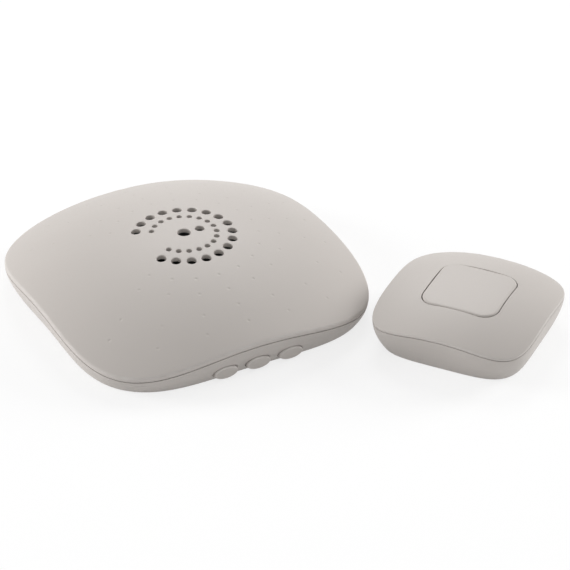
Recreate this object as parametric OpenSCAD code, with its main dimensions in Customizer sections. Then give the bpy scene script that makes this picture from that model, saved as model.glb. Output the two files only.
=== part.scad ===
// Wireless doorbell set: a chime unit with a loudspeaker and a push unit with one large button.
// Millimetres, +Z up. The origin is the middle of the chime's underside, its side buttons face -Y.

/* [Chime case] */
// Width and depth of the chime
chime_w = 115; // [112:0.5:120]
// Height of the chime at its crown
chime_h = 25.5; // [25.5:0.5:30]
// Radius of the domed cover
chime_dome_r = 134; // [130:1:150]
// Squareness of the plan, where 2 is a circle
chime_square = 3.65; // [3.4:0.05:4]
// Height of the cover's edge above the seam
chime_edge_h = 1.5; // [1.4:0.1:2]
// How far the foot is drawn in at the middle of a side
chime_draw_mid = 4.35; // [3.5:0.05:4.8]
// How far the foot is drawn in at a corner
chime_draw_corner = 2.9; // [2.2:0.1:3.6]
// Thickness of the chime's walls and floor
chime_wall = 2; // [1.8:0.1:2.2]

/* [Speaker grille] */
// Radius of the outer row of holes
outer_row_r = 17.3; // [16.8:0.1:17.8]
// Radius of the inner row of holes
inner_row_r = 11.7; // [10.5:0.1:12.5]
// Diameter of the outer holes
outer_hole_d = 3.6; // [2.8:0.1:4]
// Diameter of the inner holes
inner_hole_d = 2.1; // [1.6:0.1:2.8]
// Places round a full row
row_places = 20; // [16:1:24]
// Places left closed, so the rows read as a C
row_closed = 3; // [1:2:5]
// Diameter of the middle hole
middle_hole_d = 4.9; // [4:0.1:5.4]
// Diameter of the hole beside the middle one
side_hole_d = 3.5; // [2.6:0.1:4]
// Distance of that hole from the middle
side_hole_at = 6.2; // [6:0.1:6.8]
// Diameter of the shallow dimples outside the holes
dimple_d = 1.2; // [0.8:0.1:1.6]
// Radius of the first row of dimples
dimple_row_r = 26.8; // [25:0.1:28]
// Distance between rows of dimples
dimple_row_pitch = 7.3; // [6.5:0.1:7.5]

/* [Side buttons] */
// Length of a side button
side_button_l = 9.2; // [8.8:0.1:10]
// Height of a side button
side_button_h = 4.8; // [4.4:0.1:5]
// Distance between the middles of neighbouring side buttons
side_button_pitch = 12.6; // [12.4:0.1:14]
// How far a side button stands out of the wall at its upper edge
side_button_proud = 0.65; // [0.5:0.05:0.8]
// How far a side button can be pressed
side_button_travel = 0.7; // [0.4:0.1:0.7]

/* [Push unit] */
// Width and depth of the push unit
push_w = 58.7; // [57:0.1:62]
// Height of the push unit's dome
push_h = 18.9; // [18.5:0.1:21]
// Radius of the push unit's dome
push_dome_r = 86; // [82:1:95]
// Squareness of the push unit's plan
push_square = 4.5; // [4:0.1:5]
// Height of the push cover's edge above the seam
push_edge_h = 0.75; // [0.7:0.05:1]
// How far the push unit's foot is drawn in at the middle of a side
push_draw_mid = 3.7; // [3:0.1:4]
// How far the push unit's foot is drawn in at a corner
push_draw_corner = 4.5; // [3.5:0.1:4.8]
// Width of the push button
push_button_w = 27.9; // [27:0.1:29]
// Corner radius of the push button
push_button_corner = 5.7; // [5:0.1:7]
// How far the push button can be pressed
push_travel = 0.8; // [0.5:0.1:0.9]
// Middle of the push unit, to the right of the chime's middle
push_x = 76; // [75:0.5:95]
// Middle of the push unit, in front of the chime's middle
push_y = -70; // [-90:0.5:-69]
// Turn of the push unit about its own upright axis
push_turn = 36.4; // [0:0.1:90]

/* [Hidden] */
$fn = 48;

// Shared allowances
cut = 1;                 // how far a cutting shape runs past what it cuts
fit = 0.02;              // a screw thread or a pin in its own hole
clear = 0.2;             // two pieces that are put together by hand
slide_gap = 0.25;        // a button in its opening
chime_turns = 96;        // steps round a chime outline
push_turns = 80;         // steps round a push unit outline
edge_steps = 4;          // steps round a rounded edge
wire_sides = 8;          // sides of a drawn wire

// Chime levels
chime_half = chime_w / 2;
chime_edge_r = 1.3;                     // rounding of the cover's edge
chime_cover_t = 1.6;                    // thickness of the cover under its dome
chime_seam_gap = 0.3;                   // dark line between cover and base
chime_draw_power = 1.6;                 // bow of the wall, 1 is straight
chime_foot_edge = 0.5;                  // small bevel round the foot
chime_rib_t = 1.2;                      // locating rib inside the wall
chime_rib_h = 1.8;
post_inset = 16.5;                      // screw posts stand on the diagonals, this far in from the sides
post_at = chime_half - post_inset;
post_r = 4;
post_top = 6;
cover_boss_r = 3.4;
dimple_depth = 0.12;
dimple_rows = 4;
dimple_round_rows = 2;                  // the rows further out follow the case's plan

// Cover screws
cover_screw_r = 1.25;
cover_screw_head_r = 2.4;
cover_screw_head_h = 1.6;
cover_screw_seat = 3;
cover_screw_l = 6.2;
cover_head_gap = 0.3;                   // counterbore beyond the head

// Cells and their bay, three in a row with their axes along X
cell_r = 5.25;
cell_l = 44.5;
cell_nub_r = 1.9;
cell_nub_h = 0.8;
cell_edge = 0.6;
cell_pitch = 11.4;
cell_lift = 0.3;                        // between the floor's inside and a cell
cell_z = chime_wall + cell_lift + cell_r;
spring_l = 6.6;
strip_t = 0.4;
strip_gap = 0.05;
strip_half = 4.4;
tab_l = 4;
tab_w = 3;
tab_lift = 3;                           // a lead tab above the cells' axes
tab_z = cell_z + tab_lift;
spring_wire_r = 0.3;
spring_wide_r = 3.6;
spring_narrow_r = 2.2;
spring_turns = 3;
spring_steps = 12;
bay_half_x = (cell_l + spring_l + 2 * strip_t + 2 * strip_gap) / 2;
bay_side_gap = 1.75;                    // beside the outer cells
bay_half_y = cell_pitch + cell_r + bay_side_gap;
bay_wall = 1.5;
bay_ceiling = cell_z + cell_r + clear;
bay_roof_t = 1.2;
bay_top = bay_ceiling + bay_roof_t;
cell_rows = [-cell_pitch, 0, cell_pitch];
cell_ends = [-1, 1, -1];                // which way each cell's button end points

// Battery door, a plate in a rebate that slides along X and hooks over two ledges
door_recess = 0.2;
rebate_depth = 1.25;
door_lift = 0.1;                        // between the door and the rebate's roof
door_t = rebate_depth - door_recess - door_lift;
door_lap_x = 2.6;                       // how far the door covers past the bay
door_lap_y = 1;
door_half_x = bay_half_x + door_lap_x;
door_half_y = bay_half_y + door_lap_y;
door_travel = 6;
ledge_w = 1.6;
door_mouth_y = bay_half_y - ledge_w;
hook_l = 5;
hook_t = 1;
hook_lip = 1.1;
hook_lip_t = 0.8;
hook_lift = 0.1;                        // between a hook's lip and its ledge
hook_at = 14;
hook_notch_gap = 0.6;
hook_top = chime_wall + hook_lift + hook_lip_t;
grip_grooves = 3;
grip_inset = 4.4;
grip_pitch = 2.2;
grip_groove_w = 1;
grip_groove_depth = 0.35;

// Side buttons
side_button_foot = 1;                   // lower edge above the table
side_button_z = side_button_foot + side_button_h / 2;
side_button_edge = 0.8;
side_button_turns = 32;
side_places = [-side_button_pitch, 0, side_button_pitch];
flange_t = 1.05;
flange_side = 1.1;
flange_lift = 0.3;                      // a button's flange above the floor
flange_h = 2.9;
flange_low = chime_wall + flange_lift;
flange_high = flange_low + flange_h;
guide_lap = 0.3;                        // guide behind the wall's inside
guide_over = 1.3;                       // guide above the flanges
plunger_r = 1;
plunger_l = 2.7;
plunger_hole = 0.15;
stem_r = 1.4;
stem_l = 0.5;
switch_w = 6.2;
switch_d = 4;
switch_h = 3.8;
plunger_show = 0.7;                     // plunger still showing when pressed
switch_gap = side_button_travel + plunger_show;
switch_overhang = 0.8;                  // switches in front of the board's edge

// Main circuit board
board_t = 1.6;
board_z = 6.3;
board_half_x = 34;
plunger_z = board_z - switch_h / 2;
board_bay_gap = 1.6;
board_back_y = -(bay_half_y + bay_wall + board_bay_gap);
board_post_r = 2.4;
board_post_x = 30;
board_post_front = 4.2;                 // posts in from the board's front and back edges
board_post_back = 3.8;
board_screw_r = 0.9;
board_screw_head_r = 1.7;
board_screw_head_h = 1.2;
board_screw_l = 4.8;
chip_l = 10.2;
chip_w = 7.5;
chip_t = 2.3;
chip_x = 8;
chip_legs = 8;
leg_w = 0.45;
leg_l = 1.2;
module_l = 18;
module_w = 11;
module_t = 1;
module_x = -17;
shield_inset = 2;
shield_w = 5;
shield_h = 2.6;
trimmer_x = 2;
trimmer_r = 2;
trimmer_h = 2.2;
capacitor_r = 3.15;
capacitor_h = 5.4;
capacitor_x = 22;
capacitor_back = 3;                     // behind the board's middle line

// Wires
wire_r = 0.5;
wire_steps = 4;                         // drawn steps between two route points
lead_start = 1.3;                       // soldered end beyond the bay's wall
lead_swing = 3;                         // how far a lead swings out
lead_bend = 4.5;
lead_pad_x = 10;                        // solder pads in from the board's edges
lead_pad_y = 2;
lead_lap = 1;                           // speaker leads over the loudspeaker's edge
lead_apart = 1.6;                       // each speaker lead from the middle
antenna_over = 2;                       // antenna past the board's edge before it drops
antenna_near = 9;                       // its ends and middle beyond the board's edge
antenna_far = 11;
antenna_bend = 8;
antenna_end = 22;
antenna_drop = 1.2;                     // above the floor where it comes down

// Loudspeaker, hung from a seat ring under the cover
speaker_r = 22.5;
speaker_seat_h = 0.6;
speaker_seat_w = 2.4;
gasket_t = 0.5;
gasket_in = 20.2;
flange_ring_t = 0.6;
flange_ring_in = 19.6;
speaker_gap = 0.33;                     // over the battery bay's roof
frame_t = 0.6;
frame_shelf_r = 15.2;
frame_shelf_drop = 1.2;                 // shelf of the frame below the yoke's top
vent_count = 6;
vent_r = 1.6;
vent_at = 12.2;
yoke_r = 8.5;
yoke_wall = 0.6;
magnet_r = 6.1;
pole_h = 0.5;
coil_in = 6.6;
coil_out = 7.0;
coil_lift = 0.9;                        // lower end of the coil above the magnet's foot
cone_gap = 0.5;                         // cone above the yoke, more than its travel
cone_t = 0.35;
cone_edge_r = 17;
cone_rise = 0.8;
dust_cap_rise = 1.1;
surround_gap = 0.15;
surround_t = 0.3;
clamp_boss_r = 2.2;
clamp_at = speaker_r + clear + clamp_boss_r;
washer_bite = 1.2;                      // washer over the loudspeaker's flange
washer_r = clamp_at - speaker_r + washer_bite;
washer_t = 0.8;
clamp_screw_r = 0.9;
clamp_head_r = 1.8;
clamp_head_h = 1.1;
clamp_screw_l = 2.4;
clamp_angles = [60, 180, 300];

// Wall keyholes
keyhole_x = 28;
keyhole_back = 15.6;                    // behind the cells' bay
keyhole_y = bay_half_y + keyhole_back;
keyhole_r = 4;
keyhole_slot = 4.2;
keyhole_l = 7;

// Push unit levels
push_half = push_w / 2;
push_edge_r = 0.6;
push_cover_t = 1.8;
push_seam_gap = 0.25;
push_draw_power = 1.75;
push_wall = 1.8;
push_rib_t = 1;
push_rib_h = 1.2;
plate_t = 1.6;
plate_gap = 0.3;
foot_ring_w = 1.8;
deck_gap = 0.3;                         // between the wall plate and the deck
deck_t = 1.2;
deck_low = plate_t + deck_gap;
deck_high = deck_low + deck_t;
push_post_inset = 10.85;
push_post_at = push_half - push_post_inset;
push_post_r = 3;
push_post_top = 7;
push_boss_r = 2.8;
push_foot_edge = 0.4;
push_screw_r = 1.1;
push_screw_head_r = 2;
push_screw_head_h = 1.4;
push_head_sink = 0.3;
push_screw_seat = deck_low + push_screw_head_h + push_head_sink;
push_screw_l = 6.3;
tongue_inset = 10.3;
tongue_at = push_half - tongue_inset;
tongue_t = 1.2;
tongue_w = 8;
tongue_h = 3;
plate_hole_r = 1.8;
plate_hole_at = 15.5;
plate_head_r = 3.8;                     // room for the head of a wall screw

// Push unit board, switch and cell
push_board_half = 17;
push_board_t = 1.2;
push_board_lift = 2.5;                  // above the deck
push_board_z = deck_high + push_board_lift;
push_board_top = push_board_z + push_board_t;
pin_at = 13.6;
pin_r = 0.9;
pin_post_r = 1.8;
pin_h = 0.6;
push_switch_w = 6.2;
push_switch_h = 3.5;
push_plunger_r = 1.7;
push_plunger_show = 1.3;
push_plunger_l = 2.4;
push_plunger_hole = 0.12;
coin_r = 10;
coin_h = 3.2;
coin_rim = 0.5;
coin_pad_h = 0.2;
coin_pad_r = 6;
coin_z = push_board_z - coin_pad_h - coin_h;
coin_hole_gap = 1.5;
coin_hole_r = coin_r + coin_hole_gap;
clip_w = 5;
clip_t = 0.3;
small_chip_l = 5;
small_chip_w = 4;
small_chip_t = 1.5;
small_chip_legs = 4;
small_leg_w = 0.4;
small_leg_l = 1;
resonator_r = 2.4;
resonator_h = 2.6;
small_part_at = 9.5;

// Push button
push_button_half = push_button_w / 2;
push_button_sink = 0.6;                 // its crown below the dome's crown
push_button_crown_r = 200;
push_button_edge = 0.7;
push_button_skirt = 1.5;
push_button_gap = 0.3;
push_button_turns = 64;
collar_t = 1.4;
collar_depth = 5.7;                     // from the dome's crown to the collar's foot
collar_low = push_h - collar_depth;
push_flange_t = 1.2;
push_flange_w = 1.6;
push_flange_gap = 0.1;
push_flange_high = collar_low - push_flange_gap;
push_flange_low = push_flange_high - push_flange_t;
push_button_t = 1.6;
push_button_ceiling = push_h - push_button_sink - push_button_t;
push_stem_foot = push_board_top + push_switch_h + push_plunger_show;
push_stem_r = 2.4;

// Outlines: radius of a squarish plan, height of a dome, share of the way from a side to a corner
function plan_r(half, square, a) =
    half / pow(pow(abs(cos(a)), square) + pow(abs(sin(a)), square), 1 / square);
function dome_z(top, radius, r) = top - radius + sqrt(radius * radius - r * r);
function corner_share(half, square, a) =
    (plan_r(half, square, a) / half - 1) / (pow(2, 0.5 - 1 / square) - 1);

// Angles that crowd toward the corners of a squarish plan
function plan_angle(square, i, turns) =
    let (q = 360 * i / turns)
    atan2(sign(sin(q)) * pow(abs(sin(q)), 2 / square), sign(cos(q)) * pow(abs(cos(q)), 2 / square));

function chime_r(a) = plan_r(chime_half, chime_square, a);
function chime_dome(r) = dome_z(chime_h, chime_dome_r, r);
function chime_ceiling(r) = chime_dome(r) - chime_cover_t;
function chime_seam(a) = chime_dome(chime_r(a)) - chime_edge_h;
function chime_draw(a) =
    chime_draw_mid + (chime_draw_corner - chime_draw_mid) * corner_share(chime_half, chime_square, a);
function chime_wall_r(a, z) =
    let (top = chime_seam(a))
    chime_r(a) - chime_draw(a) * pow(max(0, (top - z) / top), chime_draw_power);

function push_r(a) = plan_r(push_half, push_square, a);
function push_dome(r) = dome_z(push_h, push_dome_r, r);
function push_ceiling(r) = push_dome(r) - push_cover_t;
function push_seam(a) = push_dome(push_r(a)) - push_edge_h;
function push_draw(a) =
    push_draw_mid + (push_draw_corner - push_draw_mid) * corner_share(push_half, push_square, a);
function push_wall_r(a, z) =
    let (top = push_seam(a))
    push_r(a) - push_draw(a) * pow(max(0, (top - z) / top), push_draw_power);

// Rounded edge that runs from an upright wall into a dome, as [radius, height] points
function dome_edge(top, radius, r, edge) =
    let (middle = [r - edge, top - radius + sqrt(pow(radius - edge, 2) - pow(r - edge, 2))],
        from = asin((r - edge) / (radius - edge)))
    [for (i = [0 : edge_steps]) let (q = 90 - (90 - from) * i / edge_steps)
        middle + edge * [sin(q), cos(q)]];

// Radius of a square with rounded corners
function round_square_r(half, corner, a) =
    let (c = abs(cos(a)), s = abs(sin(a)), inner = half - corner, big = max(c, s), small = min(c, s))
    small * half <= inner * big
        ? half / big
        : inner * (c + s) + sqrt(corner * corner - pow(inner * (c - s), 2));

// Closed skin over rings of points that turn left when seen looking back from the tail to the tip
module skin(tip, rings, tail) {
    turns = len(rings[0]);
    rows = len(rings);
    points = concat([tip], [for (ring = rings) each ring], [tail]);
    last = len(points) - 1;
    faces = concat(
        [for (i = [0 : turns - 1]) [0, 1 + i, 1 + (i + 1) % turns]],
        [for (j = [0 : rows - 2]) for (i = [0 : turns - 1])
            let (k = (i + 1) % turns, a = 1 + j * turns, b = a + turns)
            each [[a + i, b + i, b + k], [a + i, b + k, a + k]]],
        [for (i = [0 : turns - 1]) [last, last - turns + (i + 1) % turns, last - turns + i]]);
    polyhedron(points = points, faces = faces, convexity = 6);
}

// Skin from one [radius, height] profile per angle, all with the same count of points
module turned_skin(angles, profiles, tip_z, tail_z) {
    rings = [for (j = [0 : len(profiles[0]) - 1])
        [for (i = [0 : len(angles) - 1])
            [profiles[i][j][0] * cos(angles[i]), profiles[i][j][0] * sin(angles[i]), profiles[i][j][1]]]];
    skin([0, 0, tip_z], rings, [0, 0, tail_z]);
}

// Round tube between two heights
module pipe(outer, inner, low, high) {
    difference() {
        translate([0, 0, low]) cylinder(r = outer, h = high - low);
        translate([0, 0, low - cut]) cylinder(r = inner, h = high - low + 2 * cut);
    }
}

// Round rod between two heights
module rod(r, low, high) {
    translate([0, 0, low]) cylinder(r = r, h = high - low);
}

// Block between two corner points
module block(from, to) {
    translate(from) cube(to - from);
}

// Upright prism with rounded corners
module round_prism(half, corner, low, high) {
    block([-half, corner - half, low], [half, half - corner, high]);
    block([corner - half, -half, low], [half - corner, half, high]);
    for (x = [-1, 1]) for (y = [-1, 1])
        translate([x * (half - corner), y * (half - corner), 0]) rod(corner, low, high);
}

// Points round an oval
function oval(length, height, turns) =
    [for (i = [0 : turns - 1]) let (q = 360 * i / turns) [length / 2 * cos(q), height / 2 * sin(q)]];

// Oval hole, its long way along X, cut along Y
module oval_hole(length, height, from_y, to_y) {
    translate([0, to_y, 0]) rotate([90, 0, 0])
        linear_extrude(to_y - from_y) polygon(oval(length, height, side_button_turns));
}

// Screw with its head below, standing on its seat height
module screw(r, head_r, head_h, length) {
    rod(head_r, -head_h, 0);
    rod(r, -fit, length);
}

// One copy on each diagonal
module on_diagonals(at) {
    for (x = [-1, 1]) for (y = [-1, 1])
        translate([x * at, y * at, 0]) children();
}

// Smooth wire of round section through route points, with one direction that is never along the route
function route_point(p, t) =
    let (last = len(p) - 1, i = min(floor(t), last - 1), f = t - i,
        a = p[max(i - 1, 0)], b = p[i], c = p[i + 1], d = p[min(i + 2, last)])
    0.5 * (2 * b + (c - a) * f + (2 * a - 5 * b + 4 * c - d) * f * f + (3 * b - 3 * c + d - a) * f * f * f);
function unit(v) = v / norm(v);
module wire(route, r, beside, steps) {
    count = (len(route) - 1) * steps;
    line = [for (i = [0 : count]) route_point(route, i / steps)];
    rings = [for (i = [0 : count])
        let (along = unit(line[min(i + 1, count)] - line[max(i - 1, 0)]),
            across = unit(cross(along, beside)),
            up = cross(along, across))
        [for (k = [0 : wire_sides - 1]) let (q = 360 * k / wire_sides)
            line[i] + r * (cos(q) * across + sin(q) * up)]];
    skin(line[0], rings, line[count]);
}

chime_angles = [for (i = [0 : chime_turns - 1]) plan_angle(chime_square, i, chime_turns)];
push_angles = [for (i = [0 : push_turns - 1]) plan_angle(push_square, i, push_turns)];
dome_shares = [0.3, 0.6, 0.85];         // rings under a dome, from the middle out
outer_shares = [0.88, 0.76, 0.64, 0.52, 0.4, 0.28, 0.16, 0.08];  // rings on a dome, from the edge in
wall_shares = [0, 0.2, 0.4, 0.6, 0.8, 1];  // rings up the outside of a wall
inner_shares = [1, 0.6, 0.3, 0];        // rings down its inside

// Side button levels, from the wall at the middle of the front side
function front_y(z) = -chime_wall_r(-90, z);
side_button_face = front_y(side_button_z + side_button_h / 2) - side_button_proud;
guide_back = front_y(flange_low) + chime_wall + guide_lap;
flange_front = guide_back + clear;
flange_back = flange_front + flange_t;
side_button_back = flange_front + flange_t / 2;
plunger_front = flange_back + stem_l;
switch_front = plunger_front + switch_gap;
board_front_y = switch_front + switch_overhang;
board_mid_y = (board_front_y + board_back_y) / 2;
board_top = board_z + board_t;

// Loudspeaker levels, down from the cover
seat_z = chime_ceiling(speaker_r + clear) - speaker_seat_h;
flange_top = seat_z - gasket_t;
flange_foot = flange_top - flange_ring_t;
cone_z = flange_foot - cone_rise;
cone_top = cone_z + cone_t;
yoke_top = cone_z - cone_gap;
pole_z = yoke_top - pole_h;
shelf_z = yoke_top - frame_shelf_drop;
yoke_z = bay_top + speaker_gap;
magnet_z = yoke_z + yoke_wall;

module chime_cover_shell() {
    profiles = [for (a = chime_angles)
        let (r = chime_r(a), seam = chime_seam(a), rib_low = seam - chime_rib_h,
            rib_out = chime_wall_r(a, rib_low) - chime_wall - clear, rib_in = rib_out - chime_rib_t,
            edge = dome_edge(chime_h, chime_dome_r, r, chime_edge_r))
        concat(
            [for (s = dome_shares) [s * rib_in, chime_ceiling(s * rib_in)]],
            [[rib_in, chime_ceiling(rib_in)], [rib_in, rib_low], [rib_out, rib_low],
                [r - chime_wall - clear, seam], [r, seam]],
            edge,
            [for (s = outer_shares) let (inward = s * edge[edge_steps][0]) [inward, chime_dome(inward)]])];
    turned_skin(chime_angles, profiles, chime_h - chime_cover_t, chime_h);
}

// Turns of the places that are open, so that the rows read as a C
row_angles = [for (i = [0 : row_places - row_closed - 1])
    360 / row_places * (i - (row_places - row_closed - 1) / 2)];

module speaker_holes() {
    through_low = seat_z - cut;
    for (a = row_angles) rotate([0, 0, a]) {
        translate([outer_row_r, 0, 0]) rod(outer_hole_d / 2, through_low, chime_h);
        translate([inner_row_r, 0, 0]) rod(inner_hole_d / 2, through_low, chime_h);
    }
    rod(middle_hole_d / 2, through_low, chime_h + cut);
    translate([side_hole_at, 0, 0]) rod(side_hole_d / 2, through_low, chime_h + cut);
}

function dimple_at(row, a) =
    (dimple_row_r + row * dimple_row_pitch) * (row < dimple_round_rows ? 1 : chime_r(a) / chime_half);

// Shallow cones, as wide as the dimples at the dome's surface
module dimples() {
    for (row = [0 : dimple_rows - 1]) for (a = row_angles)
        let (r = dimple_at(row, a))
        rotate([0, 0, a]) translate([r, 0, chime_dome(r) - dimple_depth])
        cylinder(d1 = dimple_d / 2, d2 = dimple_d * 1.5, h = 2 * dimple_depth);
}

// What lies under the middle of a cover's thickness, so ribs and bosses end inside the dome
module under_dome(top, radius, thickness) {
    translate([0, 0, top - radius]) sphere(r = radius - thickness / 2, $fn = 96);
}

module at_clamps() {
    for (a = clamp_angles)
        rotate([0, 0, a]) translate([clamp_at, 0, 0]) children();
}

module chime_cover() {
    color("gainsboro") difference() {
        union() {
            chime_cover_shell();
            intersection() {
                union() {
                    pipe(speaker_r + clear, speaker_r + clear - speaker_seat_w, seat_z, chime_h);
                    at_clamps() rod(clamp_boss_r, flange_foot, chime_h);
                    on_diagonals(post_at) rod(cover_boss_r, post_top, chime_h);
                }
                under_dome(chime_h, chime_dome_r, chime_cover_t);
            }
        }
        speaker_holes();
        dimples();
        at_clamps()
            rod(clamp_screw_r + fit, flange_foot - cut, flange_foot - washer_t + clamp_screw_l + clear);
        on_diagonals(post_at)
            rod(cover_screw_r + fit, post_top - cut, cover_screw_seat + cover_screw_l + clear);
    }
}

module cover_screws() {
    color("silver") on_diagonals(post_at)
        translate([0, 0, cover_screw_seat])
        screw(cover_screw_r, cover_screw_head_r, cover_screw_head_h, cover_screw_l);
}

module chime_base_shell() {
    profiles = [for (a = chime_angles)
        let (top = chime_seam(a) - chime_seam_gap, low = chime_foot_edge)
        concat(
            [[chime_wall_r(a, 0) - chime_foot_edge, 0]],
            [for (s = wall_shares) let (z = low + (top - low) * s) [chime_wall_r(a, z), z]],
            [for (s = inner_shares) let (z = chime_wall + (top - chime_wall) * s)
                [chime_wall_r(a, z) - chime_wall, z]])];
    turned_skin(chime_angles, profiles, 0, chime_wall);
}

module button_openings() {
    for (x = side_places)
        translate([x, 0, side_button_z])
        oval_hole(side_button_l + 2 * slide_gap, side_button_h + 2 * slide_gap,
            -chime_half - cut, side_button_back + side_button_travel + clear);
}

module button_guide() {
    half = side_button_pitch + side_button_l / 2 + flange_side + clear;
    middle = (flange_low + flange_high) / 2;
    block([-half, front_y(chime_wall) + chime_wall / 2, chime_wall - clear], [half, guide_back, middle]);
    block([-half, front_y(middle) + chime_wall / 3, middle - clear],
        [half, guide_back, flange_high + guide_over]);
}

module keyhole() {
    rod(keyhole_r, -cut, chime_wall + cut);
    translate([0, keyhole_l, 0]) rod(keyhole_slot / 2, -cut, chime_wall + cut);
    block([-keyhole_slot / 2, 0, -cut], [keyhole_slot / 2, keyhole_l, chime_wall + cut]);
}

module at_board_posts() {
    rows = [board_front_y + board_post_front, board_back_y - board_post_back];
    for (x = [-1, 1]) for (y = rows)
        translate([x * board_post_x, y, 0]) children();
}

module bay_hollow() {
    block([-bay_half_x, -bay_half_y, chime_wall], [bay_half_x, bay_half_y, bay_ceiling]);
    block([-bay_half_x, -door_mouth_y, -cut], [bay_half_x, door_mouth_y, chime_wall + cut]);
    block([-door_half_x - clear, -door_half_y - clear, -cut],
        [door_half_x + clear + door_travel, door_half_y + clear, rebate_depth]);
    for (x = [-1, 1]) for (y = [-1, 1])
        translate([x * hook_at + door_travel, y * (door_mouth_y + hook_lip / 2), 0])
        block([-(hook_l + hook_notch_gap) / 2, -hook_lip, -cut],
            [(hook_l + hook_notch_gap) / 2, hook_lip / 2 + clear, chime_wall + cut]);
    for (side = [-1, 1])
        translate([side * (bay_half_x + bay_wall / 2), side * cell_pitch, tab_z])
        cube([bay_wall + 2 * cut, tab_w + 2 * clear, strip_t + 2 * clear], center = true);
}

module chime_base() {
    color("gainsboro") difference() {
        union() {
            chime_base_shell();
            on_diagonals(post_at) rod(post_r, chime_wall - clear, post_top);
            at_board_posts() rod(board_post_r, chime_wall - clear, board_z);
            button_guide();
            block([-bay_half_x - bay_wall, -bay_half_y - bay_wall, chime_wall - clear],
                [bay_half_x + bay_wall, bay_half_y + bay_wall, bay_top]);
        }
        bay_hollow();
        button_openings();
        on_diagonals(post_at) {
            rod(cover_screw_head_r + cover_head_gap, -cut, cover_screw_seat);
            rod(cover_screw_r + clear, -cut, post_top + cut);
        }
        at_board_posts() rod(board_screw_r + fit, board_top - board_screw_l - clear, board_z + cut);
        for (side = [-1, 1]) translate([side * keyhole_x, keyhole_y, 0]) keyhole();
    }
}

module battery_door() {
    color("lightgray") difference() {
        union() {
            block([-door_half_x, -door_half_y, door_recess],
                [door_half_x, door_half_y, door_recess + door_t]);
            for (x = [-1, 1]) for (y = [0, 1]) mirror([0, y, 0]) translate([x * hook_at, 0, 0]) {
                block([-hook_l / 2, door_mouth_y - clear - hook_t, door_recess + door_t - fit],
                    [hook_l / 2, door_mouth_y - clear, hook_top]);
                block([-hook_l / 2, door_mouth_y - clear - hook_t, hook_top - hook_lip_t],
                    [hook_l / 2, door_mouth_y - clear + hook_lip, hook_top]);
            }
        }
        for (i = [0 : grip_grooves - 1])
            translate([door_half_x - grip_inset - i * grip_pitch, 0, door_recess])
            cube([grip_groove_w, door_half_y, 2 * grip_groove_depth], center = true);
    }
}

// A cell with its button end toward +Z
module upright_cell() {
    rotate_extrude() polygon([[0, 0], [cell_r - cell_edge, 0], [cell_r, cell_edge],
        [cell_r, cell_l - cell_nub_h - cell_edge], [cell_r - cell_edge, cell_l - cell_nub_h],
        [cell_nub_r, cell_l - cell_nub_h], [cell_nub_r, cell_l], [0, cell_l]]);
}

module battery_cell(i) {
    color("steelblue") translate([0, cell_rows[i], cell_z])
        rotate([0, 90 * cell_ends[i], 0])
        translate([0, 0, bay_half_x - strip_t - strip_gap - cell_l]) upright_cell();
}

module battery_cell_front() {
    battery_cell(0);
}

module battery_cell_middle() {
    battery_cell(1);
}

module battery_cell_rear() {
    battery_cell(2);
}

// Strip on one end wall of the bay, over one row of cells or two
module contact_strip(side, first, last) {
    x = side * (bay_half_x - strip_t / 2);
    block([x - strip_t / 2, cell_rows[first] - strip_half, cell_z - strip_half],
        [x + strip_t / 2, cell_rows[last] + strip_half, cell_z + strip_half]);
}

// Tab through the end wall, where a lead is soldered
module contact_tab(side) {
    translate([side * (bay_half_x - strip_t + tab_l / 2), side * cell_pitch, tab_z])
        cube([tab_l, tab_w, strip_t], center = true);
}

module battery_contact_strips() {
    color("silver") {
        contact_strip(-1, 1, 2);
        contact_strip(1, 0, 1);
        for (side = [-1, 1]) union() {
            contact_strip(side, 1 + side, 1 + side);
            contact_tab(side);
        }
    }
}

// Cone-shaped spring that presses on the flat end of each cell
module contact_spring(i) {
    side = -cell_ends[i];
    from = bay_half_x - strip_t - spring_wire_r;
    length = spring_l - 2 * spring_wire_r;
    steps = spring_turns * spring_steps;
    route = [for (k = [0 : steps])
        let (r = spring_wide_r + (spring_narrow_r - spring_wide_r) * k / steps, q = 360 * k / spring_steps)
        [side * (from - length * k / steps), cell_rows[i] + r * cos(q), cell_z + r * sin(q)]];
    wire(route, spring_wire_r, [1, 0, 0], 1);
}

module battery_contact_springs() {
    color("silver") for (i = [0 : 2]) contact_spring(i);
}

// Lead from a tab round the bay's corner to the board
module battery_lead(side, bends) {
    lead_z = tab_z + strip_t / 2 + wire_r;
    out_x = bay_half_x + bay_wall;
    start = [side * (out_x + lead_start), side * cell_pitch, lead_z];
    corner = [side * (out_x + lead_start), board_back_y + lead_start, lead_z - 2 * wire_r];
    end = [side * (board_half_x - lead_pad_x), board_back_y - lead_pad_y, board_top + wire_r];
    swing = [for (y = bends) [side * (out_x + lead_swing), y, lead_z]];
    wire(concat([start], swing, [corner, end]), wire_r, [0, 0, 1], wire_steps);
}

module battery_leads() {
    color("firebrick") {
        battery_lead(-1, [-cell_pitch - lead_bend]);
        battery_lead(1, [cell_pitch - lead_bend, -cell_pitch]);
    }
}

// Upright front of a side button: its oval outline at some inset, set back to some place along Y
function side_button_ring(inset, y) =
    [for (p = oval(side_button_l - 2 * inset, side_button_h - 2 * inset, side_button_turns))
        [p[0], y, side_button_z + p[1]]];

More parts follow.
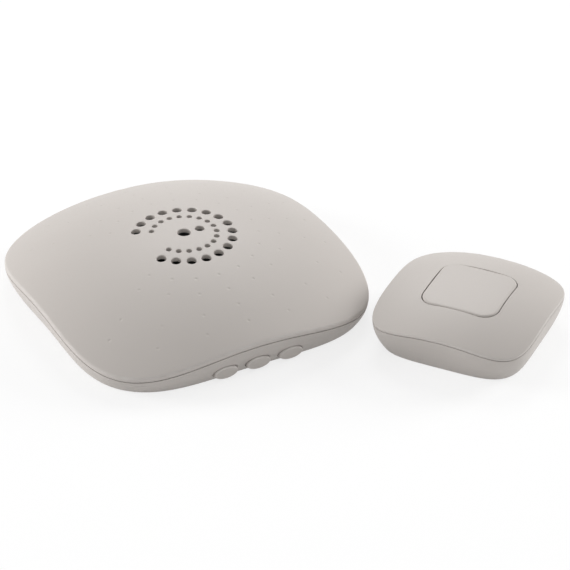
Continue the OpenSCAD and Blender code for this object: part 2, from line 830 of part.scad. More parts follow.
module side_button(i) {
    back = side_button_back;
    edge = side_button_edge;
    rings = concat(
        [side_button_ring(0, back)],
        [for (k = [edge_steps : -1 : 0]) let (q = 90 * k / edge_steps)
            side_button_ring(edge * (1 - sin(q)), side_button_face + edge * (1 - cos(q)))]);
    color("whitesmoke") translate([side_places[i], 0, 0]) {
        skin([0, back, side_button_z], rings, [0, side_button_face, side_button_z]);
        block([-side_button_l / 2 - flange_side, flange_front, flange_low],
            [side_button_l / 2 + flange_side, flange_back, flange_high]);
        translate([0, plunger_front, plunger_z]) rotate([90, 0, 0])
            cylinder(r = stem_r, h = plunger_front - flange_front);
    }
}

module left_side_button() {
    side_button(0);
}

module middle_side_button() {
    side_button(1);
}

module right_side_button() {
    side_button(2);
}

module switch_plunger(i) {
    color("dimgray") translate([side_places[i], plunger_front + plunger_l, plunger_z])
        rotate([90, 0, 0]) cylinder(r = plunger_r, h = plunger_l);
}

module left_switch_plunger() {
    switch_plunger(0);
}

module middle_switch_plunger() {
    switch_plunger(1);
}

module right_switch_plunger() {
    switch_plunger(2);
}

module side_switch_bodies() {
    bore_end = plunger_front + plunger_l + side_button_travel + clear;
    color("black") for (x = side_places) translate([x, 0, 0]) difference() {
        block([-switch_w / 2, switch_front, board_z - switch_h],
            [switch_w / 2, switch_front + switch_d, board_z]);
        translate([0, bore_end, plunger_z]) rotate([90, 0, 0])
            cylinder(r = plunger_r + plunger_hole, h = bore_end - switch_front + cut);
    }
}

module main_circuit_board() {
    color("darkgreen") difference() {
        block([-board_half_x, board_front_y, board_z], [board_half_x, board_back_y, board_top]);
        at_board_posts() rod(board_screw_r + clear, board_z - cut, board_top + cut);
    }
}

module board_screws() {
    color("silver") at_board_posts() translate([0, 0, board_top]) rotate([180, 0, 0])
        screw(board_screw_r, board_screw_head_r, board_screw_head_h, board_screw_l);
}

// Flat package with legs down both long sides
module chip(length, width, thick, legs, wide, reach) {
    block([-length / 2, -width / 2, wide / 2], [length / 2, width / 2, thick]);
    for (i = [0 : legs - 1]) for (y = [-1, 1])
        translate([(i - (legs - 1) / 2) * length / legs, y * (width + reach) / 2, wide / 2])
        cube([wide, reach + 2 * fit, wide], center = true);
}

module sound_chip() {
    color("black") translate([chip_x, board_mid_y, board_top])
        chip(chip_l, chip_w, chip_t, chip_legs, leg_w, leg_l);
}

module receiver_module() {
    shield_x = shield_inset - module_l / 2;
    color("seagreen") translate([module_x, board_mid_y, board_top]) {
        block([-module_l / 2, -module_w / 2, 0], [module_l / 2, module_w / 2, module_t]);
        block([shield_x, -shield_w / 2, module_t - fit],
            [shield_x + shield_w, shield_w / 2, module_t + shield_h]);
        translate([trimmer_x, 0, 0]) rod(trimmer_r, module_t - fit, module_t + trimmer_h);
    }
}

module power_capacitor() {
    color("silver") translate([capacitor_x, board_mid_y + capacitor_back, 0])
        rod(capacitor_r, board_top, board_top + capacitor_h);
}

module antenna_wire() {
    floor_z = chime_wall + wire_r + clear;
    near = -board_half_x - antenna_near;
    far = -board_half_x - antenna_far;
    start = [module_x - module_l / 2 - wire_r, board_mid_y, board_top + wire_r];
    over = [-board_half_x - antenna_over, board_mid_y + antenna_over, board_top + 2 * wire_r];
    color("gray") wire([start, over, [near, board_back_y, floor_z + antenna_drop],
        [far, -antenna_bend, floor_z], [far, antenna_bend, floor_z], [near, antenna_end, floor_z]],
        wire_r, [0, 0, 1], wire_steps);
}

module speaker_gasket() {
    color("dimgray") pipe(speaker_r, gasket_in, flange_top, seat_z);
}

module speaker_frame() {
    color("dimgray") difference() {
        rotate_extrude($fn = 96) polygon([[yoke_r, shelf_z], [frame_shelf_r + frame_t / 2, shelf_z],
            [flange_ring_in + frame_t, flange_foot], [speaker_r, flange_foot], [speaker_r, flange_top],
            [flange_ring_in, flange_top], [flange_ring_in, flange_foot],
            [frame_shelf_r, shelf_z + frame_t], [yoke_r, shelf_z + frame_t]]);
        for (i = [0 : vent_count - 1]) rotate([0, 0, 360 / vent_count * (i + 0.5)])
            translate([vent_at, 0, 0]) rod(vent_r, shelf_z - cut, shelf_z + frame_t + cut);
    }
}

module speaker_yoke() {
    color("silver") difference() {
        rod(yoke_r, yoke_z, yoke_top);
        rod(yoke_r - yoke_wall, magnet_z, yoke_top + cut);
    }
}

module speaker_magnet() {
    color("darkslategray") rod(magnet_r, magnet_z, pole_z);
}

module speaker_pole_plate() {
    color("silver") rod(magnet_r, pole_z, yoke_top);
}

module speaker_voice_coil() {
    color("peru") pipe(coil_out, coil_in, magnet_z + coil_lift, cone_top);
}

module speaker_cone() {
    color("black") rotate_extrude($fn = 96) polygon([[coil_out, cone_z], [cone_edge_r, cone_z + cone_rise],
        [cone_edge_r, cone_top + cone_rise], [coil_out, cone_top]]);
}

module speaker_dust_cap() {
    bow = (coil_out * coil_out + dust_cap_rise * dust_cap_rise) / (2 * dust_cap_rise);
    color("black") rotate_extrude($fn = 96) intersection() {
        translate([0, cone_top + dust_cap_rise - bow]) difference() {
            circle(r = bow, $fn = 360);
            circle(r = bow - cone_t, $fn = 360);
        }
        translate([0, cone_top]) square([coil_out, 2 * dust_cap_rise]);
    }
}

module speaker_surround() {
    middle = (cone_edge_r + surround_gap + flange_ring_in) / 2;
    outer = flange_ring_in - middle;
    color("darkgray") rotate_extrude($fn = 96) translate([middle, flange_foot]) difference() {
        circle(r = outer);
        circle(r = outer - surround_t);
        translate([-2 * outer, -2 * outer]) square([4 * outer, 2 * outer]);
    }
}

module speaker_washers() {
    color("silver") at_clamps() pipe(washer_r, clamp_screw_r + fit, flange_foot - washer_t, flange_foot);
}

module speaker_screws() {
    color("silver") at_clamps() translate([0, 0, flange_foot - washer_t])
        screw(clamp_screw_r, clamp_head_r, clamp_head_h, clamp_screw_l);
}

module speaker_leads() {
    color("crimson") for (x = [-lead_apart, lead_apart])
        wire([[x, lead_lap - speaker_r, flange_foot - wire_r],
            [x, -lead_lap - speaker_r, flange_foot - 3 * wire_r],
            [x, board_back_y - lead_pad_y, (flange_foot + board_top) / 2],
            [x, board_back_y - lead_pad_y + wire_r, board_top + lead_swing],
            [x, board_back_y - lead_swing, board_top + wire_r]], wire_r, [1, 0, 0], wire_steps);
}

// Everything in the push unit is drawn about its own middle and put in place here
module in_push_place() {
    translate([push_x, push_y, 0]) rotate([0, 0, push_turn]) children();
}

module push_cover_shell() {
    profiles = [for (a = push_angles)
        let (r = push_r(a), seam = push_seam(a), rib_low = seam - push_rib_h,
            rib_out = push_wall_r(a, rib_low) - push_wall - clear, rib_in = rib_out - push_rib_t,
            edge = dome_edge(push_h, push_dome_r, r, push_edge_r))
        concat(
            [for (s = dome_shares) [s * rib_in, push_ceiling(s * rib_in)]],
            [[rib_in, push_ceiling(rib_in)], [rib_in, rib_low], [rib_out, rib_low],
                [r - push_wall - clear, seam], [r, seam]],
            edge,
            [for (i = [2 : -1 : 0]) let (inward = dome_shares[i] * edge[edge_steps][0])
                [inward, push_dome(inward)]])];
    turned_skin(push_angles, profiles, push_h - push_cover_t, push_h);
}

module push_cover() {
    opening = push_button_half + push_button_gap;
    corner = push_button_corner + push_button_gap;
    color("gainsboro") in_push_place() difference() {
        union() {
            push_cover_shell();
            intersection() {
                union() {
                    round_prism(opening + collar_t, corner + collar_t, collar_low, push_h);
                    on_diagonals(push_post_at) rod(push_boss_r, push_post_top, push_h);
                }
                under_dome(push_h, push_dome_r, push_cover_t);
            }
        }
        round_prism(opening, corner, collar_low - cut, push_h + cut);
        on_diagonals(push_post_at)
            rod(push_screw_r + fit, push_post_top - cut, push_screw_seat + push_screw_l + clear);
    }
}

module push_base_shell() {
    profiles = [for (a = push_angles)
        let (top = push_seam(a) - push_seam_gap, low = push_foot_edge,
            recess = push_wall_r(a, 0) - foot_ring_w)
        concat(
            [[recess, deck_low], [recess, 0], [push_wall_r(a, 0) - push_foot_edge, 0]],
            [for (s = wall_shares) let (z = low + (top - low) * s) [push_wall_r(a, z), z]],
            [for (s = inner_shares) let (z = deck_high + (top - deck_high) * s)
                [push_wall_r(a, z) - push_wall, z]])];
    turned_skin(push_angles, profiles, deck_low, deck_high);
}

module at_tongues() {
    for (turn = [0, 180])
        rotate([0, 0, turn]) translate([tongue_at, 0, 0]) children();
}

module at_plate_holes() {
    for (y = [-1, 1])
        translate([0, y * plate_hole_at, 0]) children();
}

module push_base() {
    color("gainsboro") in_push_place() difference() {
        union() {
            push_base_shell();
            on_diagonals(push_post_at) rod(push_post_r, deck_low, push_post_top);
            on_diagonals(pin_at) {
                rod(pin_post_r, deck_high - fit, push_board_z);
                rod(pin_r, deck_high, push_board_top + pin_h);
            }
        }
        rod(coin_hole_r, deck_low - cut, deck_high + cut);
        at_plate_holes() rod(plate_head_r, deck_low - cut, deck_high + cut);
        at_tongues() block([-clear, -tongue_w / 2 - clear, deck_low - cut],
            [tongue_t + clear, tongue_w / 2 + clear, deck_high + cut]);
        on_diagonals(push_post_at) {
            rod(push_screw_head_r + clear, deck_low - cut, push_screw_seat);
            rod(push_screw_r + clear, deck_low - cut, push_post_top + cut);
        }
    }
}

module push_case_screws() {
    color("silver") in_push_place() on_diagonals(push_post_at)
        translate([0, 0, push_screw_seat])
        screw(push_screw_r, push_screw_head_r, push_screw_head_h, push_screw_l);
}

module push_button_shell() {
    angles = [for (i = [0 : push_button_turns - 1]) plan_angle(push_square, i, push_button_turns)];
    crown = push_h - push_button_sink;
    profiles = [for (a = angles)
        let (r = round_square_r(push_button_half, push_button_corner, a),
            wide = round_square_r(push_button_half + push_flange_w, push_button_corner + push_flange_w, a),
            inside = round_square_r(push_button_half - push_button_skirt, push_button_corner, a),
            edge = dome_edge(crown, push_button_crown_r, r, push_button_edge))
        concat(
            [[inside, push_button_ceiling], [inside, push_flange_low], [wide, push_flange_low],
                [wide, push_flange_high], [r, push_flange_high]],
            edge,
            [for (i = [2 : -1 : 0]) let (inward = dome_shares[i] * edge[edge_steps][0])
                [inward, dome_z(crown, push_button_crown_r, inward)]])];
    turned_skin(angles, profiles, push_button_ceiling, crown);
}

module push_button() {
    color("whitesmoke") in_push_place() {
        push_button_shell();
        rod(push_stem_r, push_stem_foot, push_button_ceiling + clear);
    }
}

module push_switch_body() {
    half = push_switch_w / 2;
    color("black") in_push_place() difference() {
        block([-half, -half, push_board_top], [half, half, push_board_top + push_switch_h]);
        rod(push_plunger_r + push_plunger_hole, push_stem_foot - push_plunger_l - push_travel - clear,
            push_stem_foot);
    }
}

module push_switch_plunger() {
    color("dimgray") in_push_place() rod(push_plunger_r, push_stem_foot - push_plunger_l, push_stem_foot);
}

module push_circuit_board() {
    half = push_board_half;
    color("darkgreen") in_push_place() difference() {
        union() {
            block([-half, -half, push_board_z], [half, half, push_board_top]);
            rod(coin_pad_r, coin_z + coin_h, push_board_z + fit);
        }
        on_diagonals(push_post_at) rod(push_post_r + clear, push_board_z - cut, push_board_top + cut);
        on_diagonals(pin_at) rod(pin_r + fit, push_board_z - cut, push_board_top + cut);
    }
}

module transmitter_chip() {
    color("black") in_push_place() translate([-small_part_at, -small_part_at, push_board_top])
        chip(small_chip_l, small_chip_w, small_chip_t, small_chip_legs, small_leg_w, small_leg_l);
}

module frequency_resonator() {
    color("silver") in_push_place() translate([small_part_at, -small_part_at, 0])
        rod(resonator_r, push_board_top, push_board_top + resonator_h);
}

module coin_cell() {
    color("silver") in_push_place() {
        rod(coin_r, coin_z, coin_z + coin_h - coin_rim);
        rod(coin_r - coin_rim, coin_z, coin_z + coin_h);
    }
}

module coin_cell_clip() {
    low = coin_z - clip_t;
    out = coin_r + clear;
    color("lightgray") in_push_place() {
        block([-out - clip_t, -clip_w / 2, low], [out + clip_t, clip_w / 2, coin_z]);
        for (turn = [0, 180]) rotate([0, 0, turn])
            block([out, -clip_w / 2, low], [out + clip_t, clip_w / 2, push_board_z]);
    }
}

module wall_plate() {
    edge = foot_ring_w + plate_gap;
    outline = [for (a = push_angles) (push_wall_r(a, 0) - edge) * [cos(a), sin(a)]];
    color("lightgray") in_push_place() difference() {
        union() {
            linear_extrude(plate_t) polygon(outline);
            at_tongues() block([0, -tongue_w / 2, plate_t - fit],
                [tongue_t, tongue_w / 2, plate_t + tongue_h]);
        }
        at_plate_holes() rod(plate_hole_r, -cut, plate_t + cut);
    }
}

chime_base();
chime_cover();
cover_screws();
battery_door();
battery_cell_front();
battery_cell_middle();
battery_cell_rear();
battery_contact_strips();
battery_contact_springs();
battery_leads();
left_side_button();
middle_side_button();
right_side_button();
left_switch_plunger();
middle_switch_plunger();
right_switch_plunger();
side_switch_bodies();
main_circuit_board();
board_screws();
sound_chip();
receiver_module();
power_capacitor();
antenna_wire();
speaker_gasket();
speaker_frame();
speaker_yoke();
speaker_magnet();
speaker_pole_plate();
speaker_voice_coil();
speaker_cone();
speaker_dust_cap();
speaker_surround();
speaker_washers();
speaker_screws();
speaker_leads();
push_base();
push_cover();
push_case_screws();
push_button();
push_switch_body();
push_switch_plunger();
push_circuit_board();
transmitter_chip();
frequency_resonator();
coin_cell();
coin_cell_clip();
wall_plate();
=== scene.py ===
import math

import bmesh
import bpy
from mathutils import Matrix, Vector
from mathutils.geometry import delaunay_2d_cdt


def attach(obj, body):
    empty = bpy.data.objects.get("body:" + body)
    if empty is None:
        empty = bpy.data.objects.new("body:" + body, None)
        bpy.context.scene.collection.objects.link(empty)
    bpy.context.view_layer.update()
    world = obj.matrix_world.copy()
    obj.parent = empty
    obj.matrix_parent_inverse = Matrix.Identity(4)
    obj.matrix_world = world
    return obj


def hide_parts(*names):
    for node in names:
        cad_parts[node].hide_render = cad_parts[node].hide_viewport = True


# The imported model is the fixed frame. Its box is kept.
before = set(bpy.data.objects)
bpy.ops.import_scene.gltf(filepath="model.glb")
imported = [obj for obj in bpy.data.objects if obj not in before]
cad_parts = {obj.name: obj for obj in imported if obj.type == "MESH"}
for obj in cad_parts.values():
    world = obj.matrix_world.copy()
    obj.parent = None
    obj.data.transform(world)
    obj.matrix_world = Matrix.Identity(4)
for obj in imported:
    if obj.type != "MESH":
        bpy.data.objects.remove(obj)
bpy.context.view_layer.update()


# Chime base
# The lower half of the chime's case: a shallow bowl of satin ABS, injection moulded in one piece with its
# battery bay, screw posts and the slots for the side buttons. Everything else is screwed or clipped to it.
MM = 0.001
clear = 0.2
cut = 1.0


class Case:
    """Outer form of one unit in millimetres: a squarish plan under a dome, its walls drawn in to the foot."""

    def __init__(self, half, square, top, dome, edge_h, draw_mid, draw_corner, bow):
        self.half, self.square, self.top, self.dome = half, square, top, dome
        self.edge_h, self.draw_mid, self.draw_corner, self.bow = edge_h, draw_mid, draw_corner, bow

    def radius(self, angle):
        powers = abs(math.cos(angle)) ** self.square + abs(math.sin(angle)) ** self.square
        return self.half / powers ** (1 / self.square)

    def height(self, r):
        return self.top - self.dome + math.sqrt(self.dome ** 2 - r * r)

    def seam(self, angle):
        return self.height(self.radius(angle)) - self.edge_h

    def wall(self, angle, z):
        corner = (self.radius(angle) / self.half - 1) / (2 ** (0.5 - 1 / self.square) - 1)
        draw = self.draw_mid + (self.draw_corner - self.draw_mid) * corner
        seam = self.seam(angle)
        return self.radius(angle) - draw * max(0, (seam - z) / seam) ** self.bow

    def angles(self, count):
        """Angles round the plan, crowded toward its corners."""
        turns = [2 * math.pi * i / count for i in range(count)]
        return [math.atan2(math.copysign(abs(math.sin(q)) ** (2 / self.square), math.sin(q)),
                           math.copysign(abs(math.cos(q)) ** (2 / self.square), math.cos(q))) for q in turns]

    def rounded_edge(self, angle, r, edge_r, steps):
        """(radius, height) pairs from an upright wall at a radius, round an edge, into the dome."""
        mid_r = r - edge_r
        mid_z = self.top - self.dome + math.sqrt((self.dome - edge_r) ** 2 - mid_r ** 2)
        lean = math.asin(mid_r / (self.dome - edge_r))
        turns = [math.pi / 2 - (math.pi / 2 - lean) * i / steps for i in range(steps + 1)]
        return [(mid_r + edge_r * math.sin(q), mid_z + edge_r * math.cos(q)) for q in turns]


def as_object(name, mesh):
    """Object from a bmesh whose faces are turned outward."""
    bmesh.ops.recalc_face_normals(mesh, faces=mesh.faces)
    data = bpy.data.meshes.new(name)
    mesh.to_mesh(data)
    mesh.free()
    piece = bpy.data.objects.new(name, data)
    bpy.context.scene.collection.objects.link(piece)
    return piece


def add_ring(mesh, points):
    """New vertices at points in millimetres."""
    return [mesh.verts.new(Vector(p) * MM) for p in points]


def bridge(mesh, low, high):
    """Faces between two closed rings of as many vertices."""
    for i in range(len(low)):
        k = (i + 1) % len(low)
        mesh.faces.new((low[i], low[k], high[k], high[i]))


def fan(mesh, ring, tip):
    """Faces from a closed ring to one vertex."""
    for i in range(len(ring)):
        mesh.faces.new((tip, ring[i], ring[(i + 1) % len(ring)]))


def loft(name, angles, profile, tip_z, tail_z):
    """Closed skin from a function of (radius, height) pairs at an angle, with a point at either end."""
    mesh = bmesh.new()
    columns = [profile(a) for a in angles]
    rings = [add_ring(mesh, [(column[j][0] * math.cos(a), column[j][0] * math.sin(a), column[j][1])
                             for a, column in zip(angles, columns)]) for j in range(len(columns[0]))]
    for low, high in zip(rings, rings[1:]):
        bridge(mesh, low, high)
    for z, ring in ((tip_z, rings[0]), (tail_z, rings[-1])):
        fan(mesh, ring, mesh.verts.new((0, 0, z * MM)))
    return as_object(name, mesh)


def block(mesh, low, high):
    """Box between two corners in millimetres."""
    middle = (Vector(low) + Vector(high)) / 2 * MM
    size = (Vector(high) - Vector(low)) * MM
    bmesh.ops.create_cube(mesh, size=1, matrix=Matrix.Translation(middle) @ Matrix.Diagonal((*size, 1)))


def rod(mesh, x, y, r, low, high, turn=Matrix.Identity(4)):
    """Upright round rod in millimetres, then turned about the origin."""
    place = turn @ Matrix.Translation(Vector((x, y, (low + high) / 2)) * MM)
    bmesh.ops.create_cone(mesh, cap_ends=True, segments=48, radius1=r * MM, radius2=r * MM,
                          depth=(high - low) * MM, matrix=place)


def carve(piece, tool, operation):
    """Joins a bmesh to a piece, or cuts it out of it, for good."""
    helper = as_object("tool", tool)
    modifier = piece.modifiers.new("carve", "BOOLEAN")
    modifier.operation = operation
    modifier.solver = "EXACT"
    modifier.use_self = True
    modifier.object = helper
    shaped = bpy.data.meshes.new_from_object(piece.evaluated_get(bpy.context.evaluated_depsgraph_get()))
    piece.modifiers.clear()
    old = piece.data
    piece.data = shaped
    bpy.data.meshes.remove(old)
    shaped.name = piece.name
    bpy.data.objects.remove(helper)


def smooth(piece, degrees):
    """Smooth shading that stops at edges sharper than an angle."""
    piece.data.shade_smooth()
    piece.data.set_sharp_from_angle(angle=math.radians(degrees))


def on_diagonals(at):
    return [(x, y) for x in (-at, at) for y in (-at, at)]


def wall_profile(case, angle, foot_round, top, steps):
    """(radius, height) pairs up the outside of a wall, from a rounded foot."""
    pairs = []
    foot_steps = 4
    for i in range(foot_steps + 1):
        q = math.pi / 2 * i / foot_steps
        z = foot_round * (1 - math.cos(q))
        pairs.append((case.wall(angle, z) - foot_round * (1 - math.sin(q)), z))
    for i in range(1, steps + 1):
        z = foot_round + (top - foot_round) * i / steps
        pairs.append((case.wall(angle, z), z))
    return pairs


def inner_profile(case, angle, wall, low, top):
    """(radius, height) pairs down the inside of a wall."""
    heights = [low + (top - low) * share for share in (1, 0.75, 0.5, 0.25, 0.1, 0)]
    return [(case.wall(angle, z) - wall, z) for z in heights]


chime = Case(half=57.5, square=3.65, top=25.5, dome=134, edge_h=1.5, draw_mid=4.35, draw_corner=2.9, bow=1.6)
chime_angles = chime.angles(288)
chime_wall, chime_seam_gap, chime_foot_round = 2.0, 0.3, 0.5


def chime_base_profile(angle):
    top = chime.seam(angle) - chime_seam_gap
    floor = [(chime.wall(angle, 0) * share, 0) for share in (0.3, 0.6, 0.85)]
    return (floor + wall_profile(chime, angle, chime_foot_round, top, 24)
            + inner_profile(chime, angle, chime_wall, chime_wall, top))


# Screw posts on the diagonals, with a counterbore for each screw's head
post_at, post_r, post_top = 41.0, 4.0, 6.0
cover_screw_r, cover_screw_head_r, cover_screw_seat, cover_head_gap = 1.25, 2.4, 3.0, 0.3

# Bay for three cells, closed by a door that slides in a rebate and hooks through notches beside the mouth
cell_r, cell_pitch, cell_lift = 5.25, 11.4, 0.3
cell_z = chime_wall + cell_lift + cell_r
bay_half_x, bay_side_gap, bay_wall, bay_roof = 26.0, 1.75, 1.5, 1.2
bay_half_y = cell_pitch + cell_r + bay_side_gap
bay_ceiling = cell_z + cell_r + clear
door_lap_x, door_lap_y, door_travel, rebate_depth = 2.6, 1.0, 6.0, 1.25
door_half_x, door_half_y = bay_half_x + door_lap_x, bay_half_y + door_lap_y
ledge_w, hook_at, hook_notch_l, hook_lip = 1.6, 14.0, 5.6, 1.1
mouth_y = bay_half_y - ledge_w
strip_t, tab_w, tab_lift = 0.4, 3.0, 3.0
tab_z = cell_z + tab_lift

# Side buttons: an oval slot for each, and a guide behind the wall for their flanges
side_l, side_h, side_pitch, side_foot, side_travel = 9.2, 4.8, 12.6, 1.0, 0.7
side_places = {"left": -side_pitch, "middle": 0, "right": side_pitch}
side_z = side_foot + side_h / 2
slide_gap = 0.25
flange_lift, flange_h, flange_t, flange_side, guide_lap, guide_over = 0.3, 2.9, 1.05, 1.1, 0.3, 1.3
flange_low = chime_wall + flange_lift
flange_high = flange_low + flange_h
stem_r, stem_l, plunger_show, switch_overhang = 1.4, 0.5, 0.7, 0.8


def front_y(z):
    """Where the wall stands at the middle of the side with the buttons."""
    return -chime.wall(-math.pi / 2, z)


def side_oval(x, grow, y):
    """Outline of a side button, widened all round, at some place along Y."""
    oval_steps = 72
    turns = [2 * math.pi * i / oval_steps for i in range(oval_steps)]
    half_l, half_h = side_l / 2 + grow, side_h / 2 + grow
    return [(x + half_l * math.cos(q), y, side_z + half_h * math.sin(q)) for q in turns]


guide_back = front_y(flange_low) + chime_wall + guide_lap
flange_front = guide_back + clear
side_back = flange_front + flange_t / 2

# Board posts, and keyholes for hanging the chime on two wall screws
board_z, board_t, board_bay_gap = 6.3, 1.6, 1.6
board_back_y = -(bay_half_y + bay_wall + board_bay_gap)
board_front_y = flange_front + flange_t + stem_l + side_travel + plunger_show + switch_overhang
board_post_x, board_post_r, board_post_front, board_post_back = 30.0, 2.4, 4.2, 3.8
board_screw_bore, board_screw_l = 0.92, 4.8
board_posts = [(x, y) for x in (-board_post_x, board_post_x)
               for y in (board_front_y + board_post_front, board_back_y - board_post_back)]
keyhole_x, keyhole_y, keyhole_r, keyhole_slot_r, keyhole_l = 28.0, 34.0, 4.0, 2.1, 7.0

chime_base = loft("chime_base_shell", chime_angles, chime_base_profile, 0, chime_wall)
sunk = chime_wall - clear
added = bmesh.new()
for x, y in on_diagonals(post_at):
    rod(added, x, y, post_r, sunk, post_top)
for x, y in board_posts:
    rod(added, x, y, board_post_r, sunk, board_z)
block(added, (-bay_half_x - bay_wall, -bay_half_y - bay_wall, sunk),
      (bay_half_x + bay_wall, bay_half_y + bay_wall, bay_ceiling + bay_roof))
guide_half = side_pitch + side_l / 2 + flange_side + clear
guide_mid = (flange_low + flange_high) / 2
block(added, (-guide_half, front_y(chime_wall) + chime_wall / 2, sunk), (guide_half, guide_back, guide_mid))
block(added, (-guide_half, front_y(guide_mid) + chime_wall / 3, guide_mid - clear),
      (guide_half, guide_back, flange_high + guide_over))
carve(chime_base, added, "UNION")

away = bmesh.new()
through = chime_wall + cut
block(away, (-bay_half_x, -bay_half_y, chime_wall), (bay_half_x, bay_half_y, bay_ceiling))
block(away, (-bay_half_x, -mouth_y, -cut), (bay_half_x, mouth_y, through))
block(away, (-door_half_x - clear, -door_half_y - clear, -cut),
      (door_half_x + clear + door_travel, door_half_y + clear, rebate_depth))
for x in (door_travel - hook_at, door_travel + hook_at):
    notch_y = mouth_y + hook_lip + clear
    block(away, (x - hook_notch_l / 2, -notch_y, -cut), (x + hook_notch_l / 2, notch_y, through))
for side in (-1, 1):
    middle = Vector((side * (bay_half_x + bay_wall / 2), side * cell_pitch, tab_z))
    reach = Vector((bay_wall / 2 + cut, tab_w / 2 + clear, strip_t / 2 + clear))
    block(away, middle - reach, middle + reach)
for x in side_places.values():
    slot = [add_ring(away, side_oval(x, slide_gap, y))
            for y in (-chime.half - cut, side_back + side_travel + clear)]
    bridge(away, *slot)
    for ring in slot:
        away.faces.new(ring)
for x, y in on_diagonals(post_at):
    rod(away, x, y, cover_screw_head_r + cover_head_gap, -cut, cover_screw_seat)
    rod(away, x, y, cover_screw_r + clear, -cut, post_top + cut)
for x, y in board_posts:
    rod(away, x, y, board_screw_bore, board_z + board_t - board_screw_l - clear, board_z + cut)
for x in (-keyhole_x, keyhole_x):
    rod(away, x, keyhole_y, keyhole_r, -cut, through)
    rod(away, x, keyhole_y + keyhole_l, keyhole_slot_r, -cut, through)
    block(away, (x - keyhole_slot_r, keyhole_y, -cut), (x + keyhole_slot_r, keyhole_y + keyhole_l, through))
carve(chime_base, away, "DIFFERENCE")
smooth(chime_base, 30)


def colour(code):
    """Linear colour from an sRGB hex value."""
    parts = [int(code[i:i + 2], 16) / 255 for i in (0, 2, 4)]
    return [c / 12.92 if c <= 0.04045 else ((c + 0.055) / 1.055) ** 2.4 for c in parts] + [1]


def add_node(tree, kind, output, inputs, **settings):
    """One shader node with its settings. An input takes a value or another node's output."""
    node = tree.nodes.new("ShaderNode" + kind)
    for name, value in settings.items():
        setattr(node, name, value)
    for name, value in inputs.items():
        if isinstance(value, bpy.types.NodeSocket):
            tree.links.new(value, node.inputs[name])
        else:
            node.inputs[name].default_value = value
    return node if output is None else node.outputs[output]


def per_mm(size):
    """Texture scale that gives features of a size in millimetres."""
    return 1 / (size * MM)


class Finish:
    """Node material whose tone drifts between two colours, with gloss and bump from a finer grain.

    The patches of the drift, the grain and the depth of its bump are in millimetres."""

    gloss_swing = 0.07

    def __init__(self, name, tones, patch, roughness, grain, depth, metallic=0.0, stretch=(1, 1, 1)):
        self.material = bpy.data.materials.new(name)
        self.material.use_nodes = True
        tree = self.tree = self.material.node_tree
        tree.nodes.clear()
        self.shader = add_node(tree, "BsdfPrincipled", None, {"Metallic": metallic})
        self.end = add_node(tree, "OutputMaterial", None, {"Surface": self.shader.outputs["BSDF"]})
        self.place = add_node(tree, "TexCoord", None, {})
        self.spot = self.place.outputs["Object"]
        drift = add_node(tree, "TexNoise", "Fac",
                         {"Vector": self.spot, "Scale": per_mm(patch), "Detail": 3.0})
        self.tone = add_node(tree, "Mix", 2, {0: drift, 6: colour(tones[0]), 7: colour(tones[1])},
                             data_type="RGBA")
        drawn = add_node(tree, "Mapping", "Vector", {"Vector": self.spot, "Scale": stretch})
        grains = add_node(tree, "TexNoise", "Fac", {"Vector": drawn, "Scale": per_mm(grain), "Detail": 2.0})
        self.gloss = add_node(tree, "MapRange", "Result",
                              {"Value": grains, "From Min": 0.3, "From Max": 0.7,
                               "To Min": roughness - self.gloss_swing,
                               "To Max": roughness + self.gloss_swing})
        self.bump = add_node(tree, "Bump", None, {"Height": grains, "Distance": depth * MM})
        self.wire()

    def wire(self):
        """Links the present tone, gloss and bump to the shader."""
        for output, name in ((self.tone, "Base Color"), (self.gloss, "Roughness"),
                             (self.bump.outputs["Normal"], "Normal")):
            self.tree.links.new(output, self.shader.inputs[name])

    def past(self, source, axis, level, fade, middle=0.0, both_sides=True):
        """Share that goes from 0 to 1 as a coordinate, or its distance from a middle, passes a level.

        The fade is how much further it is 1; a negative fade turns the share round."""
        coordinate = add_node(self.tree, "SeparateXYZ", axis, {"Vector": self.place.outputs[source]})
        off = add_node(self.tree, "Math", 0, {0: coordinate, 1: middle}, operation="SUBTRACT")
        if both_sides:
            off = add_node(self.tree, "Math", 0, {0: off}, operation="ABSOLUTE")
        return add_node(self.tree, "MapRange", "Result",
                        {"Value": off, "From Min": level, "From Max": level + fade})

    def paint(self, share, tone):
        """Lays a tone over the present one where the share is 1."""
        self.tone = add_node(self.tree, "Mix", 2, {0: share, 6: self.tone, 7: colour(tone)}, data_type="RGBA")
        self.wire()

    def polish(self, share, roughness):
        """Sets another gloss where the share is 1."""
        self.gloss = add_node(self.tree, "Mix", 0, {0: share, 2: self.gloss, 3: roughness}, data_type="FLOAT")
        self.wire()

    def dress(self, *pieces):
        """Gives the material to pieces, or to carried-over nodes by name."""
        for piece in pieces:
            data = (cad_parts[piece] if isinstance(piece, str) else piece).data
            data.materials.clear()
            data.materials.append(self.material)


def moulded_abs(name, tones, wear_and_highlight, roughness):
    """Satin ABS: faint flow clouds, an even spark-eroded grain and smoother handled edges, painted paler as
    wear and as a painted highlight.

    The real grain is about 0.1 mm and is drawn at 0.5 mm, so that it can be seen at all."""
    flow_cloud, grain, grain_depth, scuff, edge_shine, abs_ior = 30, 0.5, 0.02, 4, 0.05, 1.53
    finish = Finish(name, tones, flow_cloud, roughness, grain, grain_depth)
    tree = finish.tree
    # Paler tone on the rounded edges where the edge attribute is set: partly wear, partly a painted highlight
    edge = add_node(tree, "Attribute", "Fac", {}, attribute_name="wear_and_highlight")
    scuffs = add_node(tree, "TexNoise", "Fac", {"Vector": finish.spot, "Scale": per_mm(scuff)})
    patchy = add_node(tree, "MapRange", "Result", {"Value": scuffs, "From Min": 0.35, "From Max": 0.65,
                                                   "To Min": 0.2, "To Max": 0.7})
    rubbed_and_lit = add_node(tree, "Math", 0, {0: edge, 1: patchy}, operation="MULTIPLY")
    finish.paint(rubbed_and_lit, wear_and_highlight)
    finish.polish(rubbed_and_lit, roughness - edge_shine)
    finish.shader.inputs["IOR"].default_value = abs_ior
    return finish


